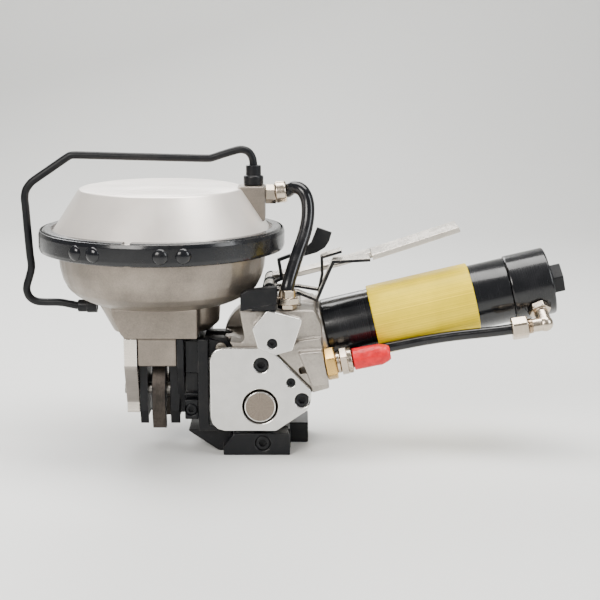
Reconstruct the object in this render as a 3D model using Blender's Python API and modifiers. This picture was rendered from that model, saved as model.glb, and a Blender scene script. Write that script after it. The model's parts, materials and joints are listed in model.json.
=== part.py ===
"""Pneumatic combination tool for steel strap: foot and tension wheel on the right, sealing head on the left.

Frame: +X towards the end of the motor handle, +Y away from the side plate, +Z up; the origin is the
centre of the foot's flat sole. Lengths below are in millimetres and are turned into metres when built.
"""
import math
import bpy
import bmesh
from mathutils import Vector, Matrix

MM = 0.001
GAP = 0.3                      # running and joint gap between neighbouring pieces

# ---- main dimensions -------------------------------------------------------------------------
CAN_X = -75.2                  # axis of the sealing cylinder
CLAMP_R = 94.3                 # outer radius of the V-band clamp
CLAMP_Z = (153.4, 171.0)
FLANGE_R = 88.0                # flanges of bowl and cover held by the clamp
SPLIT_Z = 162.2                # joint plane between bowl and cover
WHEEL = (0.8, 39.3)            # tension wheel axis (X, Z), parallel to Y
WHEEL_R = 19.6
GEAR2_Z = 79.3                 # axis height of the intermediate gear
PIVOT = (-29.0, 82.0)          # rocking axis of the tension unit (X, Z)
PLATE_Y = (-46.0, -41.3)       # side plate, front and back face
CASE_Y = (-41.0, 30.0)
LEVER_PIN = (8.0, 126.0)       # common pin of the lift lever and the thumb levers
MOTOR_0 = Vector((51.4, 0.0, 87.9))
MOTOR_1 = Vector((224.2, 0.0, 128.4))
MOTOR_D = (MOTOR_1 - MOTOR_0).normalized()
INLET_0 = Vector((50.1, -40.0, 70.6))
INLET_D = Vector((0.9816, 0.0, 0.1908)).normalized()
SOLE_Z = 0.0
FOOT_TOP = 16.8

# ---- collections and materials ---------------------------------------------------------------
for ob in list(bpy.data.objects):
    bpy.data.objects.remove(ob)

PARTS = bpy.data.collections.new("strapping_tensioner_tool")
CUTTERS = bpy.data.collections.new("cutters")
bpy.context.scene.collection.children.link(PARTS)
bpy.context.scene.collection.children.link(CUTTERS)

FINISH = {
    "cast_grey": ((0.36, 0.33, 0.29), 0.55, 0.8),
    "cast_silver": ((0.55, 0.53, 0.49), 0.42, 0.9),
    "satin_cover": ((0.80, 0.77, 0.73), 0.35, 0.7),
    "plate_silver": ((0.62, 0.62, 0.61), 0.38, 0.8),
    "bright_steel": ((0.78, 0.76, 0.71), 0.25, 1.0),
    "turned_steel": ((0.30, 0.27, 0.24), 0.35, 1.0),
    "black_steel": ((0.012, 0.013, 0.016), 0.45, 0.3),
    "black_gloss": ((0.008, 0.009, 0.012), 0.16, 0.2),
    "black_anodised": ((0.008, 0.009, 0.012), 0.16, 0.4),
    "dark_jaw": ((0.045, 0.040, 0.036), 0.55, 0.7),
    "nickel": ((0.72, 0.66, 0.57), 0.2, 1.0),
    "brass": ((0.72, 0.50, 0.20), 0.28, 1.0),
    "red_vinyl": ((0.80, 0.02, 0.03), 0.4, 0.0),
    "yellow_sleeve": ((0.84, 0.68, 0.10), 0.45, 0.0),
    "hose_black": ((0.010, 0.011, 0.013), 0.12, 0.0),
    "gear_steel": ((0.35, 0.34, 0.33), 0.35, 1.0),
    "seal_rubber": ((0.03, 0.03, 0.03), 0.7, 0.0),
}
_mats = {}


def material(name):
    if name not in _mats:
        col, rough, metal = FINISH[name]
        m = bpy.data.materials.new(name)
        m.use_nodes = True
        b = m.node_tree.nodes["Principled BSDF"]
        b.inputs["Base Color"].default_value = (*col, 1.0)
        b.inputs["Roughness"].default_value = rough
        b.inputs["Metallic"].default_value = metal
        m.diffuse_color = (*col, 1.0)
        _mats[name] = m
    return _mats[name]


# ---- building blocks (each returns a bmesh in metres) -----------------------------------------
def P(x, y, z):
    return Vector((x * MM, y * MM, z * MM))


def blank():
    return bmesh.new()


def cylinder(bm, a, b, r0, n=32, r1=None, turn=0.0):
    """Solid cylinder, cone or n-sided prism from point a to point b (mm)."""
    a, b = Vector(a), Vector(b)
    d = b - a
    q = d.to_track_quat("Z", "Y").to_matrix().to_4x4()
    m = Matrix.Translation((a + b) / 2 * MM) @ q @ Matrix.Rotation(turn, 4, "Z")
    bmesh.ops.create_cone(bm, cap_ends=True, segments=n, radius1=r0 * MM,
                          radius2=(r0 if r1 is None else r1) * MM, depth=d.length * MM, matrix=m)
    return bm


def box(bm, x, y, z):
    m = Matrix.Translation(P(sum(x) / 2, sum(y) / 2, sum(z) / 2)) @ Matrix.Diagonal(
        ((x[1] - x[0]) * MM, (y[1] - y[0]) * MM, (z[1] - z[0]) * MM, 1.0))
    bmesh.ops.create_cube(bm, size=1.0, matrix=m)
    return bm


def prism(bm, pts, lo, hi, axis="Y"):
    """Polygon extruded between lo and hi: pts are (X, Z) along Y, or (Y, Z) along X."""
    def at(p, t):
        return P(p[0], t, p[1]) if axis == "Y" else P(t, p[0], p[1])
    ring = [bm.verts.new(at(p, lo)) for p in pts]
    face = bm.faces.new(ring)
    out = bmesh.ops.extrude_face_region(bm, geom=[face])["geom"]
    move = at((0, 0), hi) - at((0, 0), lo)
    bmesh.ops.translate(bm, verts=[g for g in out if isinstance(g, bmesh.types.BMVert)], vec=move)
    return bm


def lathe(bm, profile, origin, axis, n=64, closed=True):
    """Profile of (radius, distance along axis) turned about the axis through origin (mm)."""
    origin, axis = Vector(origin), Vector(axis).normalized()
    q = axis.to_track_quat("Z", "Y").to_matrix()
    pts = [(origin + q @ Vector((r, 0, h))) * MM for r, h in profile]
    vs = [bm.verts.new(p) for p in pts]
    es = [bm.edges.new(p) for p in zip(vs, vs[1:])]
    if closed:
        es.append(bm.edges.new((vs[-1], vs[0])))
    bmesh.ops.spin(bm, geom=vs + es, cent=origin * MM, axis=axis, dvec=(0, 0, 0),
                   angle=2 * math.pi, steps=n, use_duplicate=False)
    bmesh.ops.remove_doubles(bm, verts=bm.verts, dist=2e-6)
    return bm


def rounded(pts, radii, n=4):
    """Round the corners of a polygon; radii is one number or one per corner."""
    out = []
    for i, p in enumerate(pts):
        r = radii if isinstance(radii, (int, float)) else radii[i]
        p = Vector(p)
        a, b = Vector(pts[i - 1]), Vector(pts[(i + 1) % len(pts)])
        u, v = (a - p).normalized(), (b - p).normalized()
        ang = u.angle(v)
        if r <= 0 or ang > math.pi - 0.02:
            out.append(tuple(p))
            continue
        t = min(r / math.tan(ang / 2), 0.48 * (a - p).length, 0.48 * (b - p).length)
        r = t * math.tan(ang / 2)
        c = p + (u + v).normalized() * (r / math.sin(ang / 2))
        s, e = p + u * t - c, p + v * t - c
        turn = s.angle_signed(e)
        for k in range(n + 1):
            w = -turn * k / n
            out.append((c.x + s.x * math.cos(w) - s.y * math.sin(w),
                        c.y + s.x * math.sin(w) + s.y * math.cos(w)))
    return out


def strip(path, t):
    """Outline of a bent strip of thickness t whose middle line is path (X, Z)."""
    left, right = [], []
    for i, p in enumerate(path):
        p = Vector(p)
        d0 = (p - Vector(path[i - 1])).normalized() if i else None
        d1 = (Vector(path[i + 1]) - p).normalized() if i < len(path) - 1 else None
        d0, d1 = d0 or d1, d1 or d0
        m = (d0 + d1).normalized()
        nrm = Vector((-m.y, m.x)) * (t / 2 / max(0.4, m.dot(d0)))
        left.append(tuple(p + nrm))
        right.append(tuple(p - nrm))
    return left + right[::-1]


def finish(bm, name, mat, smooth=False, where=None):
    bmesh.ops.remove_doubles(bm, verts=bm.verts, dist=1e-6)
    bmesh.ops.recalc_face_normals(bm, faces=bm.faces)
    me = bpy.data.meshes.new(name)
    bm.to_mesh(me)
    bm.free()
    ob = bpy.data.objects.new(name, me)
    (where or PARTS).objects.link(ob)
    me.materials.append(material(mat))
    if smooth:
        me.shade_smooth()
        me.set_sharp_from_angle(angle=math.radians(35))
    if where is CUTTERS:
        ob.hide_render = True
        ob.display_type = "WIRE"
    return ob


_count = [0]


def cutter(bm):
    _count[0] += 1
    return finish(bm, f"cut_{_count[0]:03d}", "black_steel", where=CUTTERS)


def boolean(ob, bm, how="DIFFERENCE"):
    m = ob.modifiers.new(how.lower(), "BOOLEAN")
    m.operation, m.solver, m.object = how, "EXACT", cutter(bm)
    return ob


def bevel(ob, width, segments=1, angle=35):
    m = ob.modifiers.new("edge", "BEVEL")
    m.width, m.segments, m.limit_method, m.angle_limit = width * MM, segments, "ANGLE", math.radians(angle)
    return ob


def rod(name, pts, r, mat, res=3):
    """Round bar, cord or hose along a list of points (mm), closed at both ends."""
    cu = bpy.data.curves.new(name + "_path", "CURVE")
    cu.dimensions, cu.bevel_depth, cu.bevel_resolution, cu.use_fill_caps = "3D", r * MM, res, True
    sp = cu.splines.new("POLY")
    sp.points.add(len(pts) - 1)
    for q, p in zip(sp.points, pts):
        q.co = (*(Vector(p) * MM), 1.0)
    tmp = bpy.data.objects.new(name + "_tmp", cu)
    me = bpy.data.meshes.new_from_object(tmp)
    bpy.data.objects.remove(tmp)
    bm = bmesh.new()
    bm.from_mesh(me)
    return finish(bm, name, mat, smooth=True)


def smooth_path(ctrl, step, r_min=None):
    """Catmull-Rom line through the control points, resampled to about one point per step (mm)."""
    c = [Vector(p) for p in ctrl]
    c = [2 * c[0] - c[1]] + c + [2 * c[-1] - c[-2]]
    dense = []
    for i in range(1, len(c) - 2):
        for k in range(24):
            t = k / 24
            dense.append(0.5 * (2 * c[i] + (c[i + 1] - c[i - 1]) * t
                                + (2 * c[i - 1] - 5 * c[i] + 4 * c[i + 1] - c[i + 2]) * t * t
                                + (3 * c[i] - c[i - 1] - 3 * c[i + 1] + c[i + 2]) * t ** 3))
    dense.append(c[-2])
    out, run = [dense[0]], 0.0
    for a, b in zip(dense, dense[1:]):
        run += (b - a).length
        if run >= step:
            out.append(b)
            run = 0.0
    if (out[-1] - dense[-1]).length < step * 0.5:
        out[-1] = dense[-1]
    else:
        out.append(dense[-1])
    return out


def hexagon(bm, a, b, across_flats, turn=0.0):
    return cylinder(bm, a, b, across_flats / math.sqrt(3), n=6, turn=turn)


def socket_screw(name, at, normal, head_r, length, key_r, head_h=3.6, mat="black_steel"):
    """Socket head flush screw: head with hexagon socket, shank behind; normal points out of the head."""
    at, nrm = Vector(at), Vector(normal).normalized()
    prof = [(0, 0), (head_r - 0.5, 0), (head_r, -0.5), (head_r, -head_h),
            (head_r * 0.55, -head_h), (head_r * 0.55, -length), (0, -length)]
    ob = finish(lathe(blank(), prof, at, nrm, n=14, closed=False), name, mat, smooth=True)
    boolean(ob, hexagon(blank(), at + nrm, at - nrm * head_h * 0.7, key_r * 1.732))
    return ob


def hole(ob, a, b, r, n=32):
    return boolean(ob, cylinder(blank(), a, b, r, n=n))


def along(p, d, t):
    return Vector(p) + Vector(d) * t


# ================================================================ foot and frame (fixed root)
def foot():
    side = [(-54.8, 16.8), (-54.8, 15.6), (-32.6, 0.6), (-30.5, 0.0), (23.0, 0.0), (23.0, FOOT_TOP)]
    ob = finish(prism(blank(), side, -30.0, 28.0), "foot_shoe", "black_steel")
    bar = [(-27.5, 0.0), (23.4, 0.0), (23.4, 15.6), (22.0, 17.0), (-19.5, 17.0), (-27.5, 6.0)]
    boolean(ob, prism(blank(), bar, -42.0, -24.0), "UNION")
    boolean(ob, box(blank(), (20.0, 37.4), (-8.0, 27.0), (0.0, 16.6)), "UNION")
    # pocket for the gripper plug, counterbore of its clamping screw
    hole(ob, (WHEEL[0], 0, 9.0), (WHEEL[0], 0, 30.0), 9.1, n=24)
    hole(ob, (2.6, -43.0, 9.2), (2.6, -35.6, 9.2), 5.9, n=24)
    hole(ob, (2.6, -37.0, 9.2), (2.6, -20.0, 9.2), 3.4, n=20)
    # shallow strap track between two low ribs
    boolean(ob, box(blank(), (-60.0, 40.0), (-17.5, 40.0), (15.9, 20.0)))
    return ob


def gripper():
    prof = [(0, 9.3), (8.2, 9.3), (8.7, 9.8), (8.7, 18.1), (8.1, 18.7), (0, 18.7)]
    ob = finish(lathe(blank(), prof, (WHEEL[0], 0, 0), (0, 0, 1), n=20, closed=False),
                "gripper_plug", "gear_steel", smooth=True)
    for k in range(-2, 3):          # teeth across the strap
        boolean(ob, prism(blank(), [(WHEEL[0] + k * 2.3 - 0.6, 19.0), (WHEEL[0] + k * 2.3, 17.9),
                                    (WHEEL[0] + k * 2.3 + 0.6, 19.0)], -10, 10))
    return ob


def frame():
    """Black steel frame: foot plate, C-shaped column open to the rear below, two pivot ears."""
    ob = finish(box(blank(), (-46.6, -38.6), (-36.0, 30.0), (26.0, 87.0)), "base_frame", "black_steel")
    boolean(ob, box(blank(), (-46.6, -27.0), (-36.0, -19.0), (17.3, 21.6)), "UNION")
    boolean(ob, box(blank(), (-46.6, -38.6), (-36.0, -19.0), (17.3, 89.0)), "UNION")
    px, pz = PIVOT
    for y in ((-32.0, -22.0), (-8.0, 2.0)):
        ear = rounded([(-42.0, pz - 7.6), (px + 7.6, pz - 7.6), (px + 7.6, pz + 7.6), (-42.0, pz + 7.6)],
                      [0, 7.5, 7.5, 0], n=6)
        boolean(ob, prism(blank(), ear, *y), "UNION")
    hole(ob, (px, -40, pz), (px, 10, pz), 4.06, n=28)
    # shelf that carries the block beside the jaws
    boolean(ob, box(blank(), (-56.5, -40.0), (-31.0, 26.0), (62.0, 87.0)), "UNION")
    return ob


def pivot_pin():
    px, pz = PIVOT
    return finish(cylinder(blank(), (px, -33.5, pz), (px, 2.2, pz), 4.0, n=28), "rocker_pin", "bright_steel", True)


# ================================================================ sealing head (fixed root)
def housing():
    """Bowl of the sealing cylinder and the neck below it, one grey casting, bored for the piston rod."""
    prof = [(0, 114.0), (54.0, 114.0), (60.0, 116.4), (67.0, 120.0), (73.0, 125.2), (76.6, 132.4),
            (78.6, 140.0), (79.8, 150.0), (80.0, 155.0), (84.0, 156.4), (FLANGE_R, 158.6),
            (FLANGE_R, SPLIT_Z - 0.15), (0, SPLIT_Z - 0.15)]
    ob = finish(lathe(blank(), prof, (CAN_X, 0, 0), (0, 0, 1), n=48, closed=False), "sealer_housing",
                "cast_grey", smooth=True)
    # neck: front box, tapering round bosses, lower block that straddles the jaws
    box_side = [(-112.6, 119.0), (-111.2, 108.0), (-104.8, 93.0), (-101.6, 89.5), (-46.4, 89.5), (-46.4, 119.0)]
    boolean(ob, prism(blank(), box_side, -38.0, 38.0), "UNION")
    boolean(ob, cylinder(blank(), (-91.5, 0, 89.7), (-91.5, 0, 116.5), 22.6, n=32, r1=36.6), "UNION")
    right = [(0, 89.8), (12.6, 89.8), (20.2, 96.4), (21.4, 112.0), (24.0, 117.0), (0, 117.0)]
    boolean(ob, lathe(blank(), right, (-52.0, 0, 0), (0, 0, 1), n=32, closed=False), "UNION")
    boolean(ob, box(blank(), (-92.6, -63.0), (-34.0, 34.0), (67.3, 92.0)), "UNION")
    # inside: cylinder chamber and rod bore
    bore = [(0, 121.5), (58.0, 121.5), (66.0, 124.5), (72.0, 130.5), (72.0, 175.0), (0, 175.0)]
    boolean(ob, lathe(blank(), bore, (CAN_X, 0, 0), (0, 0, 1), n=36, closed=False))
    # cavity for the crosshead and the upper arms of the jaws
    boolean(ob, box(blank(), (-87.0, -65.0), (-26.0, 26.0), (60.0, 78.0)))
    hole(ob, (CAN_X, 0, 70.0), (CAN_X, 0, 125.0), 8.06, n=28)
    return ob


def top_cover():
    prof = [(0, 202.8), (30.0, 202.5), (56.0, 201.8), (61.4, 200.9), (64.6, 198.2), (83.0, 169.6), (84.6, 167.4),
            (FLANGE_R, 165.8), (FLANGE_R, SPLIT_Z + 0.15), (76.0, SPLIT_Z + 0.15), (76.0, 171.0), (60.4, 196.0),
            (55.0, 197.6), (0, 198.8)]
    ob = finish(lathe(blank(), prof, (CAN_X, 0, 0), (0, 0, 1), n=48, closed=False), "top_cover",
                "satin_cover", smooth=True)
    block = rounded([(-24.0, 190.0), (-24.0, 202.4), (4.4, 202.4), (4.4, 176.5), (-4.0, 173.5)],
                    [0, 0, 1.5, 0, 0], n=3)
    boolean(ob, prism(blank(), block, -12.0, 12.0), "UNION")
    hole(ob, (-4.6, 0, 192.0), (-4.6, 0, 210.0), 4.3, n=20)
    hole(ob, (-10.0, 0, 195.5), (10.0, 0, 195.5), 4.3, n=20)
    return ob


def clamp():
    """Outer tension band with its rivet heads, and the two V-shaped segments it pulls together."""
    gap = math.radians(-101.0)      # direction of the front gap, seen from above
    band = [(92.8, 155.2), (93.6, 154.6), (CLAMP_R, 155.6), (CLAMP_R, 168.6), (93.6, 169.6), (92.8, 169.0)]
    ob = finish(lathe(blank(), band, (CAN_X, 0, 0), (0, 0, 1), n=52), "clamp_band", "black_gloss", smooth=True)
    back = gap + math.pi
    c, s = math.cos(back), math.sin(back)
    cut = box(blank(), (-6.0, 6.0), (-10.0, 10.0), (150, 176))
    bmesh.ops.transform(cut, verts=cut.verts,
                        matrix=Matrix.Translation(P(CAN_X + 93.5 * c, 93.5 * s, 0))
                        @ Matrix.Rotation(back - math.pi / 2, 4, "Z"))
    boolean(ob, cut)
    for side in (-1, 1):            # lugs that carry the T-bolt
        a = back + side * math.radians(6.2)
        lug = cylinder(blank(), (CAN_X + 93 * math.cos(a), 93 * math.sin(a), 162.2),
                       (CAN_X + 101.5 * math.cos(a), 101.5 * math.sin(a), 162.2), 5.4, n=16)
        boolean(ob, lug, "UNION")
    for deg in (-25.5, -15.5, 15.5, 25.5):
        for base in (gap, back):
            a = base + math.radians(deg)
            d = Vector((math.cos(a), math.sin(a), 0))
            head = lathe(blank(), [(0, -1.2), (5.4, -1.2), (4.6, 1.2), (0, 2.2)],
                         Vector((CAN_X, 0, 161.8)) + d * CLAMP_R, d, n=10, closed=False)
            boolean(ob, head, "UNION")
    out = [ob]
    vee = [(84.6, CLAMP_Z[1]), (84.6, 168.3), (88.4, 166.3), (88.4, 158.1), (84.6, 155.9), (84.6, CLAMP_Z[0]),
           (91.6, CLAMP_Z[0]), (92.5, 155.6), (92.5, 168.8), (91.6, CLAMP_Z[1])]
    for k, name in enumerate(("clamp_segment_left", "clamp_segment_right")):
        seg = finish(lathe(blank(), vee, (CAN_X, 0, 0), (0, 0, 1), n=52), name, "black_gloss", smooth=True)
        half = box(blank(), (-2.6 if k == 0 else -140.0, 140.0 if k == 0 else 2.6), (-140.0, 140.0), (140, 180))
        bmesh.ops.transform(half, verts=half.verts, matrix=Matrix.Translation(P(CAN_X, 0, 0))
                            @ Matrix.Rotation(gap - math.pi / 2, 4, "Z"))
        boolean(seg, half)
        out.append(seg)
    # T-bolt across the rear gap of the band
    r = 99.2
    mid = Vector((CAN_X + r * c, r * s, 162.2))
    t = Vector((-s, c, 0))
    for o in (ob,):
        hole(o, mid - t * 22, mid + t * 22, 2.9, n=16)
    bolt = finish(cylinder(blank(), mid - t * 15.5, mid + t * 21.0, 2.6, n=16), "clamp_bolt", "bright_steel", True)
    boolean(bolt, hexagon(blank(), mid - t * 20.6, mid - t * 16.4, 8.0), "UNION")
    boolean(bolt, cylinder(blank(), mid - t * 17.0, mid - t * 15.0, 2.6, n=16), "UNION")
    boolean(bolt, hexagon(blank(), mid + t * 16.4, mid + t * 20.4, 8.2), "UNION")
    return out + [bolt]


def bail():
    pts = [(-127.4, 108.2), (-141.5, 108.2), (-146.0, 109.0), (-156.0, 110.8), (-168.0, 111.0), (-174.5, 111.8), (-179.2, 114.8), (-181.3, 119.5),
           (-181.2, 124.0), (-179.2, 130.5), (-177.4, 137.0), (-177.2, 142.0), (-177.9, 148.2), (-180.0, 185.0),
           (-180.5, 192.0), (-179.4, 198.2), (-176.4, 202.8), (-173.0, 206.0), (-148.5, 222.6), (-145.0, 224.6),
           (-141.0, 225.4), (-89.0, 224.0), (-41.0, 222.9), (-36.0, 223.4), (-27.6, 226.1), (-16.0, 229.4),
           (-11.6, 229.2), (-8.2, 227.6), (-5.7, 224.0), (-4.7, 219.4), (-4.6, 203.5)]
    return rod("bail_handle", [(x, 0.0, z) for x, z in pts], 3.0, "black_steel", res=2)


def bail_nuts():
    top = lathe(blank(), [(3.2, 202.7), (7.6, 202.7), (7.6, 209.0), (7.0, 209.9), (5.8, 210.1), (5.8, 217.2),
                          (5.2, 217.8), (3.2, 217.8)], (-4.6, 0, 0), (0, 0, 1), n=16)
    a = finish(top, "bail_nut_top", "black_steel", smooth=True)
    side = lathe(blank(), [(3.25, 0.0), (5.5, 0.0), (5.5, 7.6), (4.9, 8.0), (4.9, 14.4), (4.4, 15.0), (3.25, 15.0)],
                 (-126.9, 0, 108.2), (-1, 0, 0), n=16)
    b = finish(side, "bail_nut_side", "black_steel", smooth=True)
    return [a, b]


def piston():
    prof = [(0, 147.5), (67.0, 147.5), (67.0, 144.0), (71.7, 144.0), (71.7, 155.0), (66.0, 152.5), (0, 152.5)]
    a = finish(lathe(blank(), prof, (CAN_X, 0, 0), (0, 0, 1), n=36, closed=False), "seal_piston", "cast_silver", True)
    hole(a, (CAN_X, 0, 140), (CAN_X, 0, 160), 6.06, n=20)
    rodp = [(0, 77.2), (7.9, 77.2), (8.0, 77.5), (8.0, 147.2), (5.8, 147.2), (5.8, 158.0), (0, 158.0)]
    b = finish(lathe(blank(), rodp, (CAN_X, 0, 0), (0, 0, 1), n=28, closed=False), "piston_rod", "bright_steel", True)
    wedge = rounded([(-7.5, 77.7), (7.5, 77.7), (7.5, 64.0), (2.2, 51.0), (-2.2, 51.0), (-7.5, 64.0)], 1.0, n=2)
    boolean(b, prism(blank(), wedge, -83.0, -72.6, axis="X"), "UNION")
    return [a, b]


def helix(centre, r, z0, z1, turns, per=14):
    n = int(turns * per)
    return [(centre[0] + r * math.cos(2 * math.pi * turns * k / n), centre[1] + r * math.sin(2 * math.pi * turns * k / n),
             z0 + (z1 - z0) * k / n) for k in range(n + 1)]


def return_spring():
    return rod("piston_spring", helix((CAN_X, 0), 30.0, 124.5, 144.8, 3.0, per=10), 1.9, "gear_steel", res=1)


def jaws():
    """Crosshead wedge under the rod, the two jaws it spreads at the top, their pins and the plates."""
    out = []
    for side, name in ((-1, "jaw_front"), (1, "jaw_rear")):
        s = side
        arm = [(s * 8.2, 44.0), (s * 8.1, 52.0), (s * 8.1, 65.5), (s * 17.0, 65.5), (s * 24.0, 54.0),
               (s * 26.5, 44.0), (s * 25.5, 30.0), (s * 22.5, 21.5), (s * 20.5, 15.2), (s * 17.0, 15.2),
               (s * 18.2, 22.0), (s * 18.6, 30.0), (s * 12.0, 38.0)]
        if side > 0:
            arm = arm[::-1]
        ob = finish(prism(blank(), arm, -83.2, -72.4, axis="X"), name, "dark_jaw")
        hole(ob, (-90, s * 15.0, 46.0), (-60, s * 15.0, 46.0), 4.36, n=24)
        out.append(ob)
        out.append(finish(cylinder(blank(), (-104.6, s * 15.0, 46.0), (-58.0, s * 15.0, 46.0), 4.3, n=24),
                          "jaw_pin_" + name[4:], "gear_steel", True))
    plate = [(-35.0, 89.2), (-35.0, 68.0), (-33.0, 64.0), (-22.0, 39.0), (-20.5, 36.0), (-20.5, 27.8),
             (20.5, 27.8), (20.5, 36.0), (22.0, 39.0), (33.0, 64.0), (35.0, 68.0), (35.0, 89.2)]
    a = finish(prism(blank(), plate, -103.0, -92.9, axis="X"), "jaw_plate_left", "bright_steel")
    b = finish(prism(blank(), plate, -62.7, -57.4, axis="X"), "jaw_plate_right", "black_steel")
    # fixed cheeks beside the jaws, forked over the strap
    cheek = [(-24.0, 66.9), (-24.0, 30.0), (-20.0, 19.0), (-17.5, 19.0), (-17.5, 24.0), (17.5, 24.0),
             (17.5, 19.0), (20.0, 19.0), (24.0, 30.0), (24.0, 66.9)]
    c = finish(prism(blank(), cheek, -92.6, -86.4, axis="X"), "jaw_cheek_left", "black_steel")
    boolean(b, prism(blank(), cheek, -69.2, -62.0, axis="X"), "UNION")
    for ob in (a, b, c):
        for s in (-1, 1):
            hole(ob, (-110, s * 15.0, 46.0), (-50, s * 15.0, 46.0), 4.36, n=24)
    return out + [a, b, c]


def guide_block():
    """Block beside the jaws with its socket screw, and the small grey strap gauge above it."""
    side = [(-56.9, 26.0), (-47.0, 26.0), (-47.0, 61.6), (-56.9, 61.6)]
    ob = finish(prism(blank(), side, -28.0, 26.0), "guide_block", "black_steel")
    boolean(ob, box(blank(), (-57.1, -46.9), (-34.0, -27.0), (26.0, 41.4)), "UNION")
    hole(ob, (-52.2, -36.0, 33.6), (-52.2, -29.6, 33.6), 4.6, n=20)
    hole(ob, (-52.2, -30.5, 33.6), (-52.2, -14.0, 33.6), 2.7, n=16)
    boolean(ob, box(blank(), (-57.0, -46.8), (-32.0, -27.0), (44.0, 46.4)), "UNION")
    return [ob]


# ================================================================ tension unit (rocks about PIVOT)
def arc(c, r, a0, a1, n):
    return [(c[0] + r * math.cos(math.radians(a0 + (a1 - a0) * k / n)),
             c[1] + r * math.sin(math.radians(a0 + (a1 - a0) * k / n))) for k in range(n + 1)]


def gear_case():
    side = [(-24.0, 22.6), (12.0, 22.6), (34.0, 36.5), (38.6, 46.5), (39.6, 49.5), (53.4, 53.4), (48.1, 80.8),
            (47.0, 100.0), (41.5, 112.5), (14.0, 112.8), (-14.4, 112.0), (-11.0, 92.0), (-12.5, 88.2), (-26.8, 88.2),
            (-26.8, 84.0), (-36.0, 78.0), (-36.0, 30.0), (-33.0, 25.0)]
    ob = finish(prism(blank(), side, *CASE_Y), "gear_case", "cast_silver")
    # front land right of the side plate: follows the plate's slanted edge, carries the air inlet
    land = [(13.6, 80.4), (39.8, 53.6), (40.2, 49.7), (53.4, 53.4), (48.1, 80.8), (46.4, 92.0), (30.0, 90.0)]
    boolean(ob, prism(blank(), land, -51.0 + 6.0, -38.0), "UNION")
    inlet = [along(INLET_0, (-INLET_D.z, 0, INLET_D.x), k) for k in (-13.0, 13.0)]
    pad = [(inlet[0].x, inlet[0].z), (inlet[1].x, inlet[1].z), (30.0, 82.0), (40.4, 56.0)]
    boolean(ob, prism(blank(), pad, -51.5, -30.0), "UNION")
    # valve body behind the five-sided cover
    valve = [(6.6, 113.0), (31.6, 106.6), (24.8, 86.6), (14.0, 85.3), (0.6, 87.2), (-3.6, 101.0)]
    boolean(ob, prism(blank(), valve, -47.7, -30.0), "UNION")
    # round motor flange and the round rear gear boss
    boolean(ob, cylinder(blank(), along(MOTOR_0, MOTOR_D, -17), along(MOTOR_0, MOTOR_D, -GAP), 29.6, n=36), "UNION")
    boolean(ob, cylinder(blank(), (WHEEL[0], 12.0, GEAR2_Z), (WHEEL[0], 30.0, GEAR2_Z), 30.0, n=40), "UNION")
    # lug round the rocking pin, with room for the two ears of the frame
    px, pz = PIVOT
    for y in ((-45.0, -21.6), (-8.4, 2.4)):
        boolean(ob, cylinder(blank(), (px, y[0], pz), (px, y[1], pz), 9.4, n=36))
        boolean(ob, box(blank(), (-50.0, px), y, (pz - 9.4, pz + 12.0)))
    hole(ob, (px, -30, pz), (px, 0, pz), 4.06, n=28)
    # wheel chamber open at the bottom, shaft bore, gear chamber open at the rear
    boolean(ob, cylinder(blank(), (WHEEL[0], -12.0, WHEEL[1]), (WHEEL[0], 12.0, WHEEL[1]), 21.8, n=40))
    hole(ob, (WHEEL[0], -60, WHEEL[1]), (WHEEL[0], 20, WHEEL[1]), 8.3, n=32)
    hole(ob, (WHEEL[0], -60, WHEEL[1]), (WHEEL[0], -30, WHEEL[1]), 13.5, n=36)
    gears = cylinder(blank(), (WHEEL[0], 14.5, WHEEL[1]), (WHEEL[0], 40, WHEEL[1]), 18.4, n=36)
    boolean(ob, gears)
    boolean(ob, cylinder(blank(), (WHEEL[0], 14.5, GEAR2_Z), (WHEEL[0], 40, GEAR2_Z), 26.6, n=40))
    hole(ob, (WHEEL[0], 4.0, GEAR2_Z), (WHEEL[0], 20, GEAR2_Z), 5.06, n=24)
    # short pipe stub that takes the end of the motor hose
    boolean(ob, cylinder(blank(), (44.0, -21.5, 66.6), (58.0, -21.5, 66.6), 5.8, n=20), "UNION")
    hole(ob, (54.6, -21.5, 66.6), (70.0, -21.5, 66.6), 4.5, n=20)
    # bore for the motor's output shaft
    hole(ob, along(MOTOR_0, MOTOR_D, -28), along(MOTOR_0, MOTOR_D, 10), 9.5, n=28)
    # screw holes, valve plunger bores, upper hose port, inlet bore, hose port
    for x, z, r in ((1.7, 71.5, 3.4), (24.1, 58.0, 2.3), (32.6, 44.1, 3.2)):
        hole(ob, (x, -60, z), (x, -22, z), r, n=12)
    hole(ob, (10.2, -60, 89.4), (10.2, -34, 89.4), 2.7, n=16)
    for x, y in ((29.0, -19.0), (24.0, -10.0)):
        hole(ob, (x, y, 100.0), (x, y, 125.0), 2.6, n=14)
    hole(ob, (21.5, -36.0, 100.0), (21.5, -36.0, 125.0), 4.6, n=16)
    hole(ob, along(INLET_0, INLET_D, -20), along(INLET_0, INLET_D, 5), 5.4, n=16)
    return ob


def side_plate():
    out = rounded([(-36.8, 84.6), (10.2, 84.6), (12.4, 79.8), (40.6, 51.2), (37.4, 36.8), (13.0, 20.2), (-36.8, 20.2)],
                  [9.6, 3.0, 2.0, 7.5, 8.5, 4.0, 11.0], n=3)
    ob = finish(prism(blank(), out, *PLATE_Y), "side_plate", "plate_silver")
    hole(ob, (WHEEL[0], -60, WHEEL[1]), (WHEEL[0], -30, WHEEL[1]), 13.5, n=40)
    for x, z, r in ((1.7, 71.5, 5.9), (24.1, 58.0, 3.5), (32.6, 44.1, 5.7)):
        hole(ob, (x, -60, z), (x, -30, z), r, n=24)
    return ob


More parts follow.
